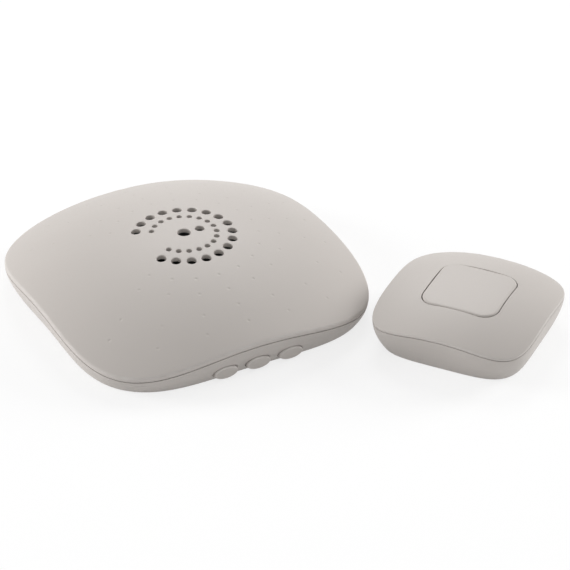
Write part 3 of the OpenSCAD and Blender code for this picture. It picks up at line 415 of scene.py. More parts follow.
case_abs = moulded_abs("warm_grey_moulded_abs", ("b9b3ae", "bdb7b2"), "c6c1bd", roughness=0.5)
case_abs.dress(chime_base)
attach(chime_base, "chime")
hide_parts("chime_base")


# Cells, contacts and leads
# Three AAA cells lie side by side in the bay. Their ends press on nickel-plated spring steel strips and
# conical springs, and two PVC-insulated leads are soldered from the end strips to the board.
cell_band = 13.5

# Printed film shrunk over the steel can: blue with a pale band at either end, bare steel on the end faces
sleeve = Finish("printed_cell_sleeve", ("3f6f8f", "456f8a"), patch=12, roughness=0.3,
                grain=0.8, depth=0.004)
sleeve.paint(sleeve.past("Object", "X", cell_band * MM, 0.3 * MM), "d8dcde")
sleeve.paint(sleeve.past("Normal", "X", 0.45, 0.1), "b9b7b2")
sleeve.dress("battery_cell_front", "battery_cell_middle", "battery_cell_rear")

# Nickel plate over rolled strip: bright, a little warm, with rolling lines along the strip
nickel = Finish("nickel_plated_spring_steel", ("b8b2a6", "c6c1b6"), patch=5, roughness=0.25,
                grain=0.4, depth=0.004, metallic=1.0, stretch=(0.15, 1, 1))
nickel.dress("battery_contact_strips", "battery_contact_springs")

# Soft PVC, black on one side and red on the other, with a slight waxy sheen
pvc = Finish("pvc_wire_insulation", ("1c1b1b", "252424"), patch=3, roughness=0.4, grain=0.3, depth=0.006)
pvc.paint(pvc.past("Object", "X", 0.0, 0.1 * MM, both_sides=False), "98201d")
pvc.dress("battery_leads", "speaker_leads")


# Main circuit board and its parts
# A 1.6 mm glass-epoxy board under green solder mask, held on four posts by small screws. It carries the
# sound chip, the receiver module with its wire antenna, and the can of the supply capacitor.
board_top = board_z + board_t
board_mid_y = (board_front_y + board_back_y) / 2
chip_w, module_t, capacitor_x, print_from = 7.5, 1.0, 22.0, 1.2


def circuit_board(name):
    """Glass epoxy with green solder mask over copper tracks, tinned pads, and bare tan edges.

    Tracks are 0.3 mm wide on the real board and drawn at 0.48 mm."""
    board = Finish(name, ("12502c", "165833"), patch=8, roughness=0.28, grain=0.6, depth=0.006)
    tree = board.tree
    track_patch, track_pitch, track_w, track_fade, track_show = 4, 1.12, 0.48, 0.06, 0.55
    cells = add_node(tree, "TexVoronoi", "Distance", {"Vector": board.spot, "Scale": per_mm(track_patch)},
                     distance="MANHATTAN", feature="F2")
    rings = add_node(tree, "Math", 0, {0: cells, 1: track_pitch / 2 / track_patch}, operation="PINGPONG")
    tracks = add_node(tree, "MapRange", "Result",
                      {"Value": rings, "From Min": track_w / 2 / track_patch,
                       "From Max": (track_w / 2 - track_fade) / track_patch, "To Max": track_show})
    board.paint(tracks, "3a7d49")
    pad_pitch, pad_r, pad_fade = 5, 0.65, 0.1
    pads = add_node(tree, "TexVoronoi", "Distance", {"Vector": board.spot, "Scale": per_mm(pad_pitch)})
    dots = add_node(tree, "MapRange", "Result", {"Value": pads, "From Min": pad_r / pad_pitch,
                                                 "From Max": (pad_r - pad_fade) / pad_pitch})
    board.paint(dots, "c3c4c2")
    rims = board.past("Normal", "Z", 0.6, -0.2)
    board.paint(rims, "b79a5c")
    board.polish(rims, 0.7)
    return board


green_board = circuit_board("glass_epoxy_circuit_board")
green_board.dress("main_circuit_board")

# Zinc plate on small screws and washers: grey, slightly blue, uneven from barrel plating
zinc = Finish("zinc_plated_steel", ("9fa2a4", "b4b6b6"), patch=1.5, roughness=0.35,
              grain=0.25, depth=0.006, metallic=1.0)
zinc.dress("board_screws")

# Black epoxy package: matte, with fine filler grain, and tinned legs beyond its two long sides
epoxy = Finish("black_epoxy_package", ("161616", "1d1c1c"), patch=2, roughness=0.55,
               grain=0.15, depth=0.008)
epoxy.paint(epoxy.past("Object", "Y", chip_w / 2 * MM, 0.01 * MM, board_mid_y * MM), "bfc0bd")
epoxy.dress("sound_chip")

# Receiver module: a small board with a tinned shield and a tuning coil standing on it
module = circuit_board("receiver_board")
tinned = module.past("Object", "Z", (board_top + module_t) * MM, 0.05 * MM)
module.paint(tinned, "b9bab6")
module.polish(tinned, 0.35)
module.dress("receiver_module")

# Aluminium can, drawn lengthwise, with a dark print over half of its top
can = Finish("aluminium_can", ("b3b4b6", "c0c1c2"), patch=2, roughness=0.35,
             grain=0.2, depth=0.004, metallic=1.0, stretch=(1, 1, 0.1))
on_top = can.past("Normal", "Z", 0.8, 0.1, both_sides=False)
on_half = can.past("Object", "X", (capacitor_x + print_from) * MM, 0.1 * MM)
can.paint(add_node(can.tree, "Math", 0, {0: on_top, 1: on_half}, operation="MULTIPLY"), "1a1a1e")
can.dress("power_capacitor")

# Grey PVC, softer and duller than the leads
antenna = Finish("grey_pvc_antenna_wire", ("6d6f72", "777a7c"), patch=3, roughness=0.42,
                 grain=0.3, depth=0.006)
antenna.dress("antenna_wire")


# Side switches and side buttons
# Three tactile switches hang under the board's front edge. In front of each is an oval ABS button that comes
# out through a slot in the base; its flange behind the wall keeps it in, and the switch springs it back.

# Glass-filled nylon bodies are black and slightly rough; the acetal plungers are grey and waxy
nylon = Finish("black_glass_filled_nylon", ("1b1b1c", "232324"), patch=2, roughness=0.5,
               grain=0.2, depth=0.008)
nylon.dress("side_switch_bodies")
acetal = Finish("grey_acetal_plunger", ("3b3c3e", "454648"), patch=1.5, roughness=0.4,
                grain=0.2, depth=0.004)
acetal.dress("left_switch_plunger", "middle_switch_plunger", "right_switch_plunger")

# Its edge tone d6d1cd is paler than the case's: a painted highlight on the rims of the side buttons
button_abs = moulded_abs("button_abs", ("b9b3ae", "bdb7b2"), "d6d1cd", roughness=0.5)
side_proud, side_edge, side_edge_steps, side_crown = 0.65, 0.8, 8, 0.15
side_face = front_y(side_z + side_h / 2) - side_proud
switch_h = 3.8
stem_z = board_z - switch_h / 2
across = Matrix.Rotation(math.radians(90), 4, "X")

for side, x in side_places.items():
    mesh = bmesh.new()
    wear_and_highlight = mesh.verts.layers.float.new("wear_and_highlight")
    rows = [add_ring(mesh, side_oval(x, 0, side_back))]
    for i in range(side_edge_steps + 1):
        q = math.pi / 2 * i / side_edge_steps
        set_back = side_crown + side_edge * (1 - math.sin(q))
        rows.append(add_ring(mesh, side_oval(x, side_edge * (math.cos(q) - 1), side_face + set_back)))
        # The rounding rows carry the share of that paler tone, a painted highlight strongest halfway round
        # the edge
        for vert in rows[-1]:
            vert[wear_and_highlight] = math.sin(2 * q)
    for share in (0.75, 0.5, 0.25):
        inset = side_h / 2 - share * (side_h / 2 - side_edge)
        rows.append(add_ring(mesh, side_oval(x, -inset, side_face + side_crown * share * share)))
    for low, high in zip(rows, rows[1:]):
        bridge(mesh, low, high)
    mesh.faces.new(rows[0])
    mesh.faces.new(rows[-1])
    button = as_object(side + "_side_button_cap", mesh)
    back = bmesh.new()
    block(back, (x - side_l / 2 - flange_side, flange_front, flange_low),
          (x + side_l / 2 + flange_side, flange_front + flange_t, flange_high))
    rod(back, x, stem_z, stem_r, -flange_front - flange_t - stem_l, -flange_front, turn=across)
    carve(button, back, "UNION")
    smooth(button, 30)
    button_abs.dress(button)
    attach(button, side + " button")
    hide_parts(side + "_side_button")


# Loudspeaker
# A 45 mm loudspeaker of flat build: pressed steel frame, cup-shaped yoke, magnet and pole plate, and a film
# cone with its copper coil on a rubber surround. Three screws with washers clamp it under the cover.
coil_turn, film_ring = 0.2, 1.5
wave_bands = 20     # a wave texture draws its bands this much closer than its scale

# Foam is black, dull and pitted; the frame is stamped steel under thin black paint
foam = Finish("closed_cell_foam", ("141414", "1d1d1d"), patch=1, roughness=0.85, grain=0.4, depth=0.05)
foam.dress("speaker_gasket")
pressed = Finish("black_painted_steel", ("1c1c1d", "242425"), patch=6, roughness=0.45,
                 grain=0.6, depth=0.01)
pressed.dress("speaker_frame")
zinc.dress("speaker_yoke", "speaker_pole_plate", "speaker_washers", "speaker_screws")

# Sintered magnet: dark grey, ground but not polished
ferrite = Finish("sintered_magnet", ("2a2a2c", "343436"), patch=2, roughness=0.6, grain=0.3, depth=0.02)
ferrite.dress("speaker_magnet")

# Enamelled copper: warm and glossy, wound in fine turns along the coil's height
copper = Finish("enamelled_copper_winding", ("8a4a22", "a55a2b"), patch=1, roughness=0.3,
                grain=0.2, depth=0.004, metallic=1.0)
turns = add_node(copper.tree, "TexWave", "Fac",
                 {"Vector": copper.spot, "Scale": per_mm(coil_turn) / wave_bands}, bands_direction="Z")
copper.tree.links.new(turns, copper.bump.inputs["Height"])
copper.bump.inputs["Distance"].default_value = 0.08 * MM
copper.dress("speaker_voice_coil")

# Black film, pressed with fine rings
film = Finish("black_formed_film", ("121212", "191918"), patch=4, roughness=0.5, grain=0.4, depth=0.01)
rings = add_node(film.tree, "TexWave", "Fac", {"Vector": film.spot, "Scale": per_mm(film_ring) / wave_bands},
                 wave_type="RINGS", rings_direction="Z")
film.tree.links.new(rings, film.bump.inputs["Height"])
film.bump.inputs["Distance"].default_value = 0.1 * MM
film.dress("speaker_cone", "speaker_dust_cap")

# Moulded rubber: black and dull
rubber = Finish("black_rubber_surround", ("171717", "1f1f1f"), patch=3, roughness=0.65,
                grain=0.3, depth=0.01)
rubber.dress("speaker_surround")


# Chime cover
# The domed upper half of the chime's case, moulded in the same satin ABS. It has the C-shaped rows of holes
# for the loudspeaker, rows of shallow dimples outside them, and bosses inside for the screws.
chime_cover_t, chime_rib_t, chime_rib_h, chime_edge_r = 1.6, 1.2, 1.8, 1.3
row_places, row_open = 20, 17
outer_row_r, outer_hole_r, inner_row_r, inner_hole_r = 17.3, 1.8, 11.7, 1.05
middle_hole_r, side_hole_r, side_hole_at, hole_lip = 2.45, 1.75, 6.2, 0.25
dimple_r, dimple_depth, dimple_row_r, dimple_pitch = 0.6, 0.12, 26.8, 7.3
dimple_rows, dimple_round_rows = 4, 2


class Opening:
    """Round or round-cornered opening in millimetres: its middle, half width and corner radius.

    It is drawn with so many steps in each corner and along each side."""

    def __init__(self, x, y, half, corner, arc, side=0):
        self.x, self.y, self.half, self.corner, self.arc, self.side = x, y, half, corner, arc, side

    def gap(self, x, y):
        """Distance of a point from the outline, negative inside."""
        out = [abs(x - self.x) - self.half + self.corner, abs(y - self.y) - self.half + self.corner]
        return math.hypot(max(out[0], 0), max(out[1], 0)) + min(max(out), 0) - self.corner

    def loop(self, grow):
        """Points round the outline, widened all round."""
        reach = self.half - self.corner
        r = self.corner + grow
        middles = [(reach, reach), (-reach, reach), (-reach, -reach), (reach, -reach)]
        points = []
        for quarter in range(4):
            here, following = Vector(middles[quarter]), Vector(middles[(quarter + 1) % 4])
            stops = [(here, math.pi / 2 * (quarter + i / self.arc)) for i in range(self.arc)]
            stops += [(here.lerp(following, i / self.side), math.pi / 2 * (quarter + 1))
                      for i in range(self.side)]
            points += [(self.x + m.x + r * math.cos(q), self.y + m.y + r * math.sin(q)) for m, q in stops]
        return points


def grid(outline_r, widest, openings, spacing, keep):
    """Points of an even triangular grid inside an outline, clear of it and of the openings."""
    points = []
    reach = math.ceil(1.2 * widest / spacing)
    for row in range(-reach, reach + 1):
        y = row * spacing * math.sqrt(0.75)
        for column in range(-reach, reach + 1):
            x = (column + 0.5 * (row % 2)) * spacing
            if math.hypot(x, y) > outline_r(math.atan2(y, x)) - 0.6 * spacing:
                continue
            if all(o.gap(x, y) > keep for o in openings):
                points.append((x, y))
    return points


def pierced_skin(mesh, outline, loops, loose, height, left_out):
    """Triangles inside an outline and outside the openings; gives the outline's and each loop's vertices."""
    flat = list(outline)
    edges = [(i, (i + 1) % len(outline)) for i in range(len(outline))]
    starts = []
    for loop in loops:
        start = len(flat)
        starts.append(start)
        flat += loop
        edges += [(start + i, start + (i + 1) % len(loop)) for i in range(len(loop))]
    flat += loose
    inside_outline, tolerance = 1, 1e-7
    spots, _, faces, origins, _, _ = delaunay_2d_cdt([Vector(p) for p in flat], edges, [],
                                                     inside_outline, tolerance)
    verts = add_ring(mesh, [(p.x, p.y, height(p.length)) for p in spots])
    found = {}
    for vert, origin in zip(verts, origins):
        for i in origin:
            found[i] = vert
    for face in faces:
        middle = sum((spots[i] for i in face), Vector((0, 0))) / len(face)
        if not left_out(middle.x, middle.y):
            mesh.faces.new([verts[i] for i in face])
    rims = [[found[start + i] for i in range(len(loop))] for start, loop in zip(starts, loops)]
    return [found[i] for i in range(len(outline))], rims


def domed_cover(name, case, angles, cover_t, wall, rib_t, rib_h, edge_r, openings, dimples, lip, collar):
    """Closed shell of a domed cover with a rib round its foot, rounded openings and shallow dimples.

    The collar gives how thick and how low the wall below an opening is, or None for a plain hole."""
    mesh = bmesh.new()
    wear_and_highlight = mesh.verts.layers.float.new("wear_and_highlight")
    edge_steps, lip_steps, skin_step, inner_step, keep, halo, dimple_halo = 10, 5, 2.0, 4.0, 1.0, 0.4, 0.35
    widest = case.half * math.sqrt(2)
    edges = {a: case.rounded_edge(a, case.radius(a), edge_r, edge_steps) for a in angles}

    def edge_start(angle):
        return case.rounded_edge(angle, case.radius(angle), edge_r, 1)[-1][0]

    def rib_out(angle):
        return case.wall(angle, case.seam(angle) - rib_h) - wall - clear

    def rib_in(angle):
        return rib_out(angle) - rib_t

    def rib_foot(angle):
        return case.seam(angle) - rib_h

    def outline(radius):
        return [(radius(a) * math.cos(a), radius(a) * math.sin(a)) for a in angles]

    def lifted(radius, z):
        return add_ring(mesh, [(radius(a) * math.cos(a), radius(a) * math.sin(a), z(a)) for a in angles])

    # Outside of the dome, with a ring of points round each opening that keeps its triangles even
    loops = [o.loop(lip) for o in openings] + [d.loop(0) for d in dimples]
    loose = grid(edge_start, widest, openings + dimples, skin_step, keep + lip)
    for o in openings:
        loose += o.loop(lip + halo)
    for d in dimples:
        loose += d.loop(dimple_halo)
    crown, rims = pierced_skin(mesh, outline(edge_start), loops, loose, case.height,
                               lambda x, y: any(o.gap(x, y) < lip for o in openings)
                               or any(d.gap(x, y) < 0 for d in dimples))
    for d, rim in zip(dimples, rims[len(openings):]):
        here = rim
        for share in (0.72, 0.4):
            ring = add_ring(mesh, [(x, y, case.height(math.hypot(x, y)) - dimple_depth * (1 - share * share))
                                   for x, y in d.loop((share - 1) * d.half)])
            bridge(mesh, here, ring)
            here = ring
        low = add_ring(mesh, [(d.x, d.y, case.height(math.hypot(d.x, d.y)) - dimple_depth)])[0]
        fan(mesh, here, low)

    # Rounded edge down to the seam, then the rib that locates the cover in the base
    here = crown
    for i in range(edge_steps - 1, -1, -1):
        ring = lifted(lambda a: edges[a][i][0], lambda a: edges[a][i][1])
        # The rounded edge takes the paler edge tone: partly wear, partly a painted highlight
        for vert in ring:
            vert[wear_and_highlight] = math.sin(math.pi * (i + 1) / (edge_steps + 1))
        bridge(mesh, here, ring)
        here = ring
    for radius, z in ((case.radius, case.seam), (lambda a: case.radius(a) - wall - clear, case.seam),
                      (rib_out, rib_foot), (rib_in, rib_foot)):
        ring = lifted(radius, z)
        bridge(mesh, here, ring)
        here = ring

    # Underside of the dome, and the walls of the openings between the two
    grow = collar[0] if collar else 0
    inner, feet = pierced_skin(mesh, outline(rib_in), [o.loop(grow) for o in openings],
                               grid(rib_in, widest, openings, inner_step, keep + grow),
                               lambda r: case.height(r) - cover_t,
                               lambda x, y: any(o.gap(x, y) < grow for o in openings))
    bridge(mesh, here, inner)
    for o, rim, foot in zip(openings, rims, feet):
        here = rim
        for i in range(1, lip_steps + 1):
            q = math.pi / 2 * i / lip_steps
            ring = add_ring(mesh, [(x, y, case.height(math.hypot(x, y)) - lip * (1 - math.cos(q)))
                                   for x, y in o.loop(lip * (1 - math.sin(q)))])
            # The lips of the openings take a weaker share of it: a painted highlight on their rims
            for vert in ring:
                vert[wear_and_highlight] = 0.6 * math.sin(2 * q)
            bridge(mesh, here, ring)
            here = ring
        if collar:
            for spread in (0, grow):
                ring = add_ring(mesh, [(x, y, collar[1]) for x, y in o.loop(spread)])
                bridge(mesh, here, ring)
                here = ring
        bridge(mesh, here, foot)
    bmesh.ops.delete(mesh, geom=[vert for vert in mesh.verts if not vert.link_faces], context="VERTS")
    return as_object(name, mesh)


row_turns = [2 * math.pi / row_places * (i - (row_open - 1) / 2) for i in range(row_open)]
holes = [Opening(0, 0, middle_hole_r, middle_hole_r, 12),
         Opening(side_hole_at, 0, side_hole_r, side_hole_r, 10)]
for row_r, hole_r in ((outer_row_r, outer_hole_r), (inner_row_r, inner_hole_r)):
    holes += [Opening(row_r * math.cos(q), row_r * math.sin(q), hole_r, hole_r, 10) for q in row_turns]
pricks = []
for row in range(dimple_rows):
    for q in row_turns:
        r = dimple_row_r + row * dimple_pitch
        if row >= dimple_round_rows:
            r *= chime.radius(q) / chime.half
        pricks.append(Opening(r * math.cos(q), r * math.sin(q), dimple_r, dimple_r, 4))
chime_cover = domed_cover("chime_cover_shell", chime, chime_angles, cover_t=chime_cover_t, wall=chime_wall,
                          rib_t=chime_rib_t, rib_h=chime_rib_h, edge_r=chime_edge_r, openings=holes,
                          dimples=pricks, lip=hole_lip, collar=None)

# Bosses for the case screws, a seat ring for the loudspeaker and three small bosses for its clamps
cover_boss_r, cover_screw_l = 3.4, 6.2
seat_in, seat_out, seat_h, gasket_t, flange_ring_t = 20.3, 22.7, 0.6, 0.5, 0.6
clamp_at, clamp_boss_r, clamp_screw_bore, clamp_screw_l, washer_t = 24.9, 2.2, 0.92, 2.4, 0.8
seat_z = chime.height(seat_out) - chime_cover_t - seat_h
clamp_z = seat_z - gasket_t - flange_ring_t
half_sunk = chime_cover_t / 2
bosses = bmesh.new()
for x, y in on_diagonals(post_at):
    rod(bosses, x, y, cover_boss_r, post_top, chime.height(math.hypot(x, y) + cover_boss_r) - half_sunk)
clamp_turns = [math.radians(q) for q in (60, 180, 300)]
clamps = [(clamp_at * math.cos(q), clamp_at * math.sin(q)) for q in clamp_turns]
for x, y in clamps:
    rod(bosses, x, y, clamp_boss_r, clamp_z, chime.height(clamp_at + clamp_boss_r) - half_sunk)
ring_steps = 96
ring_turns = [2 * math.pi * i / ring_steps for i in range(ring_steps)]
seat_top = chime.height(seat_out) - half_sunk
seat_rings = [add_ring(bosses, [(r * math.cos(q), r * math.sin(q), z) for q in ring_turns])
              for r, z in ((seat_in, seat_z), (seat_out, seat_z), (seat_out, seat_top), (seat_in, seat_top))]
for low, high in zip(seat_rings, seat_rings[1:] + seat_rings[:1]):
    bridge(bosses, low, high)
carve(chime_cover, bosses, "UNION")
threads = bmesh.new()
for x, y in on_diagonals(post_at):
    rod(threads, x, y, cover_screw_r, post_top - cut, cover_screw_seat + cover_screw_l + clear)
for x, y in clamps:
    rod(threads, x, y, clamp_screw_bore, clamp_z - cut, clamp_z - washer_t + clamp_screw_l + clear)
carve(chime_cover, threads, "DIFFERENCE")
smooth(chime_cover, 32)
case_abs.dress(chime_cover)
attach(chime_cover, "chime")
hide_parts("chime_cover")
zinc.dress("cover_screws")


# Battery door
# A flat ABS plate with four hooks, flush in a rebate of the base. It slides along X until its hooks drop out
# of their notches, and three grooves give a thumb some grip.
door_edge = 0.12


def soften(node, width):
    """Rounds the edges of a carried-over node, whose own mesh stays as it is."""
    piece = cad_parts[node]
    joined = piece.modifiers.new("joined", "WELD")
    joined.merge_threshold = 0.002 * MM
    edges = piece.modifiers.new("edges", "BEVEL")
    edges.width = width * MM
    edges.segments = 3
    edges.limit_method = "ANGLE"
    edges.angle_limit = math.radians(40)


plate_abs = moulded_abs("plate_abs", ("b0aaa5", "b5afaa"), "c0bbb7", roughness=0.52)
plate_abs.dress("battery_door")
soften("battery_door", door_edge)


# Push base and what it holds
# The lower half of the push unit: a square ABS tray with rounded corners. Its deck carries the board on pins,
# and a coin cell lies under the board in a clip of spring steel.
push = Case(half=29.35, square=4.5, top=18.9, dome=86, edge_h=0.75, draw_mid=3.7, draw_corner=4.5, bow=1.75)
push_angles = push.angles(224)
push_x, push_y, push_turn = 76.0, -70.0, 36.4
push_place = (Matrix.Translation((push_x * MM, push_y * MM, 0))
              @ Matrix.Rotation(math.radians(push_turn), 4, "Z"))
push_wall, push_seam_gap, push_foot_round, foot_ring = 1.8, 0.25, 0.4, 1.8
deck_low, deck_high = 1.9, 3.1


def push_base_profile(angle):
    top = push.seam(angle) - push_seam_gap
    recess = push.wall(angle, 0) - foot_ring
    return ([(recess, deck_low), (recess, 0)] + wall_profile(push, angle, push_foot_round, top, 22)
            + inner_profile(push, angle, push_wall, deck_high, top))


# Screw posts, board pins, and what passes through the deck: the coin, wall screw heads and plate tongues
push_post_at, push_post_r, push_post_top = 18.5, 3.0, 7.0
push_screw_r, push_screw_head_r, push_screw_seat, push_screw_l = 1.1, 2.0, 3.6, 6.3
pin_at, pin_r, pin_post_r, pin_top, push_board_z = 13.6, 0.9, 1.8, 7.4, 5.6
coin_hole_r, plate_hole_at, plate_head_r = 11.5, 15.5, 3.8
tongue_at, tongue_t, tongue_w = 19.05, 1.2, 8.0

push_base = loft("push_base_shell", push_angles, push_base_profile, deck_low, deck_high)
pins = bmesh.new()
for x, y in on_diagonals(push_post_at):
    rod(pins, x, y, push_post_r, deck_low + clear, push_post_top)
for x, y in on_diagonals(pin_at):
    rod(pins, x, y, pin_post_r, deck_high - clear, push_board_z)
    rod(pins, x, y, pin_r, deck_high, pin_top)
carve(push_base, pins, "UNION")
away = bmesh.new()
under, over = deck_low - cut, deck_high + cut
rod(away, 0, 0, coin_hole_r, under, over)
for y in (-plate_hole_at, plate_hole_at):
    rod(away, 0, y, plate_head_r, under, over)
for x in (-tongue_at - tongue_t / 2, tongue_at + tongue_t / 2):
    block(away, (x - tongue_t / 2 - clear, -tongue_w / 2 - clear, under),
          (x + tongue_t / 2 + clear, tongue_w / 2 + clear, over))
for x, y in on_diagonals(push_post_at):
    rod(away, x, y, push_screw_head_r + clear, under, push_screw_seat)
    rod(away, x, y, push_screw_r + clear, under, push_post_top + cut)
carve(push_base, away, "DIFFERENCE")
push_base.data.transform(push_place)
smooth(push_base, 30)
case_abs.dress(push_base)
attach(push_base, "push unit")
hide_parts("push_base")

green_board.dress("push_circuit_board")
zinc.dress("push_case_screws")
nickel.dress("coin_cell_clip")
nylon.dress("push_switch_body")
acetal.dress("push_switch_plunger")

# Stainless steel cell case: bright, with the fine texture of drawn sheet
stainless = Finish("stainless_cell_case", ("b9b9b7", "c8c8c6"), patch=6, roughness=0.22,
                   grain=0.5, depth=0.003, metallic=1.0)
stainless.dress("coin_cell")

# Nickel silver can: a warmer, duller white metal
resonator = Finish("nickel_silver_can", ("b3afa4", "c1bdb3"), patch=2, roughness=0.3,
                   grain=0.3, depth=0.003, metallic=1.0)
resonator.dress("frequency_resonator")

# The same black epoxy as the sound chip, with its tinned legs lying on the board
legs_top = 7.0
small_epoxy = Finish("black_epoxy_small_package", ("161616", "1d1c1c"), patch=2, roughness=0.55,
                     grain=0.15, depth=0.008)
small_epoxy.paint(small_epoxy.past("Object", "Z", legs_top * MM, -0.02 * MM), "bfc0bd")
small_epoxy.dress("transmitter_chip")


# Push cover
# The domed upper half of the push unit in the same satin ABS, held by four screws from below. A collar under
# its square opening guides the button.
button_half, button_corner, button_gap = 13.95, 5.7, 0.3
push_cover_t, push_rib_t, push_rib_h, push_edge_r, push_boss_r, opening_lip = 1.8, 1.0, 1.2, 0.6, 2.8, 0.2
collar_t, collar_depth = 1.4, 5.7
collar_low = push.top - collar_depth

opening = Opening(0, 0, button_half + button_gap, button_corner + button_gap, 14, 12)
push_cover = domed_cover("push_cover_shell", push, push_angles, cover_t=push_cover_t, wall=push_wall,
                         rib_t=push_rib_t, rib_h=push_rib_h, edge_r=push_edge_r, openings=[opening],
                         dimples=[], lip=opening_lip, collar=(collar_t, collar_low))
bosses = bmesh.new()
for x, y in on_diagonals(push_post_at):
    boss_top = push.height(math.hypot(x, y) + push_boss_r) - push_cover_t / 2
    rod(bosses, x, y, push_boss_r, push_post_top, boss_top)
carve(push_cover, bosses, "UNION")
threads = bmesh.new()
for x, y in on_diagonals(push_post_at):
    rod(threads, x, y, push_screw_r, push_post_top - cut, push_screw_seat + push_screw_l + clear)
carve(push_cover, threads, "DIFFERENCE")
push_cover.data.transform(push_place)
smooth(push_cover, 32)
case_abs.dress(push_cover)
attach(push_cover, "push unit")
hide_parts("push_cover")


# Push button
# A large square ABS key with a slight crown, a little below the dome round it. Its flange stops under the
# collar, and a stem in the middle presses the switch.
button_sink, button_edge, button_skirt, button_t = 0.6, 0.7, 1.5, 1.6
button_crown = push.top - button_sink
button_roof = button_crown - button_t
button_flange, button_flange_t, button_flange_gap = 1.6, 1.2, 0.1
flange_top_z = collar_low - button_flange_gap
flange_foot_z = flange_top_z - button_flange_t
push_stem_r, push_stem_foot = 2.4, 11.6
key = Case(half=button_half, square=push.square, top=button_crown, dome=200, edge_h=0, draw_mid=0,
           draw_corner=0, bow=1)


def round_square(half, corner, angle):
    """Radius of a square with round corners."""
    c, s = abs(math.cos(angle)), abs(math.sin(angle))
    inner = half - corner
    if min(c, s) * half <= inner * max(c, s):
        return half / max(c, s)
    return inner * (c + s) + math.sqrt(corner * corner - (inner * (c - s)) ** 2)


def key_profile(angle):
    r = round_square(button_half, button_corner, angle)
    wide = round_square(button_half + button_flange, button_corner + button_flange, angle)
    hollow = round_square(button_half - button_skirt, button_corner, angle)
    inside = [(hollow, button_roof), (hollow, flange_foot_z), (wide, flange_foot_z), (wide, flange_top_z),
              (r, flange_top_z)]
    shares = [0.9 - 0.1 * i for i in range(9)]
    top = [(share * (r - button_edge), key.height(share * (r - button_edge))) for share in shares]
    return inside + key.rounded_edge(angle, r, button_edge, 8) + top


push_button = loft("push_button_key", key.angles(192), key_profile, button_roof, button_crown)
stem = bmesh.new()
rod(stem, 0, 0, push_stem_r, push_stem_foot, button_roof + clear)
carve(push_button, stem, "UNION")
push_button.data.transform(push_place)
smooth(push_button, 30)
button_abs.dress(push_button)
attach(push_button, "push button")
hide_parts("push_button")


# Wall plate
# A flat ABS plate inside the push unit's foot, with two screw holes for the wall and two tongues that grip
# the slots of the deck.
plate_edge = 0.15
plate_abs.dress("wall_plate")
soften("wall_plate", plate_edge)


# Studio
# Plain white paper in the light of softboxes: strong low ones at the left and the right, and weaker ones
# behind and in front, so that the near walls are darkest. Seen with a long lens from the photograph's place.

# The camera that was fitted to the photograph: its aim and distance in metres, its focal length in pixels
aim = Vector((0.033815, -0.012805, 0))
view_azimuth, view_elevation, view_distance = -28.585, 32.886, 0.9684
sensor, focal_pixels, picture = 36.0, 2678.92, 570


def from_aim(azimuth, elevation, distance):
    """Point at a distance from the aim; azimuth 0 is in front of the side buttons, in degrees."""
    q, lift = math.radians(azimuth), math.radians(elevation)
    level = math.cos(lift)
    return aim + distance * Vector((math.sin(q) * level, -math.cos(q) * level, math.sin(lift)))


def put_facing_aim(thing, place):
    thing.location = place
    thing.rotation_euler = (place - aim).to_track_quat("Z", "Y").to_euler()
    bpy.context.scene.collection.objects.link(thing)


camera_data = bpy.data.cameras.new("camera")
camera_data.sensor_width = sensor
camera_data.lens = sensor * focal_pixels / picture
camera_data.clip_end = 100
camera = bpy.data.objects.new("camera", camera_data)
put_facing_aim(camera, from_aim(view_azimuth, view_elevation, view_distance))
bpy.context.scene.camera = camera

# The two low softboxes give no gloss, because satin plastic seen against them would glare to white
softbox_size, softbox_distance = 0.8, 2.0
for name, turn, lift, power, glossy in (("left_softbox", -100, 14, 32, False),
                                        ("right_softbox", 118, 16, 30, False),
                                        ("back_softbox", 180, 42, 9.5, True),
                                        ("front_softbox", 0, 50, 3, True)):
    lamp_data = bpy.data.lights.new(name, "AREA")
    lamp_data.size = softbox_size
    lamp_data.energy = power
    lamp = bpy.data.objects.new(name, lamp_data)
    lamp.visible_glossy = glossy
    put_facing_aim(lamp, from_aim(view_azimuth + turn, lift, softbox_distance))


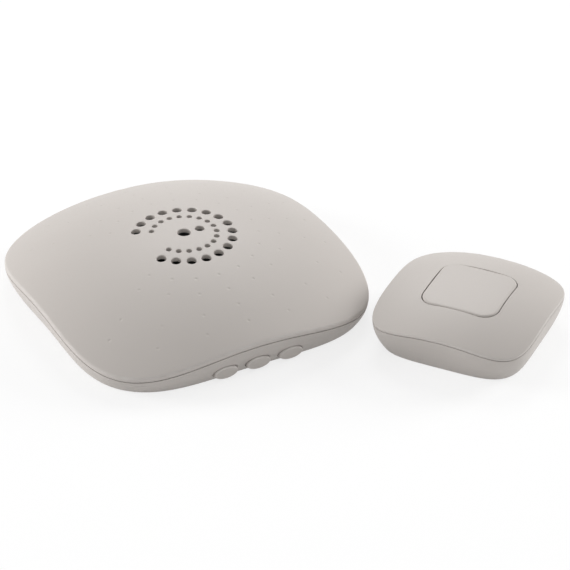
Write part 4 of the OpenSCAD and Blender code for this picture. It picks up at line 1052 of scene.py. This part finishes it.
def seen_share(tree, share):
    """A share for what the camera sees, also by gloss and through glass, and none for other light."""
    rays = add_node(tree, "LightPath", None, {})
    seen = add_node(tree, "Math", 0, {0: rays.outputs["Is Camera Ray"], 1: rays.outputs["Is Glossy Ray"]},
                    operation="MAXIMUM")
    seen = add_node(tree, "Math", 0, {0: seen, 1: rays.outputs["Is Transmission Ray"]}, operation="MAXIMUM")
    return add_node(tree, "Math", 0, {0: seen, 1: share}, operation="MULTIPLY")


# Matt white paper; most of what the camera sees of it is plain white, so that the shadow on it stays faint,
# and from some way off all of it is, so that it meets the surroundings without a line
floor_half, plain_near, shadow_reach, plain_from = 4, 0.75, 0.3, 1.0
paper_mesh = bmesh.new()
bmesh.ops.create_grid(paper_mesh, x_segments=2, y_segments=2, size=floor_half)
floor = as_object("floor", paper_mesh)
paper = Finish("white_studio_paper", ("fbfbfb", "ffffff"), patch=200, roughness=0.9, grain=2, depth=0.01)
plain_white = add_node(paper.tree, "Emission", "Emission", {"Color": colour("ffffff"), "Strength": 1.0})
away_from_units = add_node(paper.tree, "VectorMath", "Value", {0: paper.spot}, operation="LENGTH")
plain_share = add_node(paper.tree, "MapRange", "Result",
                       {"Value": away_from_units, "From Min": shadow_reach, "From Max": plain_from,
                        "To Min": plain_near, "To Max": 1.0})
both = add_node(paper.tree, "MixShader", "Shader",
                {0: seen_share(paper.tree, plain_share), 1: paper.shader.outputs["BSDF"], 2: plain_white})
paper.tree.links.new(both, paper.end.inputs["Surface"])
paper.dress(floor)

# White surroundings that fill the shadows at less than half of the strength at which they are seen
fill_level, seen_level = 0.45, 1.0
world = bpy.data.worlds.new("studio")
world.use_nodes = True
sky = world.node_tree
sky.nodes.clear()
level = add_node(sky, "MapRange", "Result", {"Value": seen_share(sky, 1.0), "To Min": fill_level,
                                             "To Max": seen_level})
background = add_node(sky, "Background", "Background", {"Color": colour("ffffff"), "Strength": level})
add_node(sky, "OutputWorld", None, {"Surface": background})
bpy.context.scene.world = world
bpy.context.scene.view_settings.view_transform = "Standard"
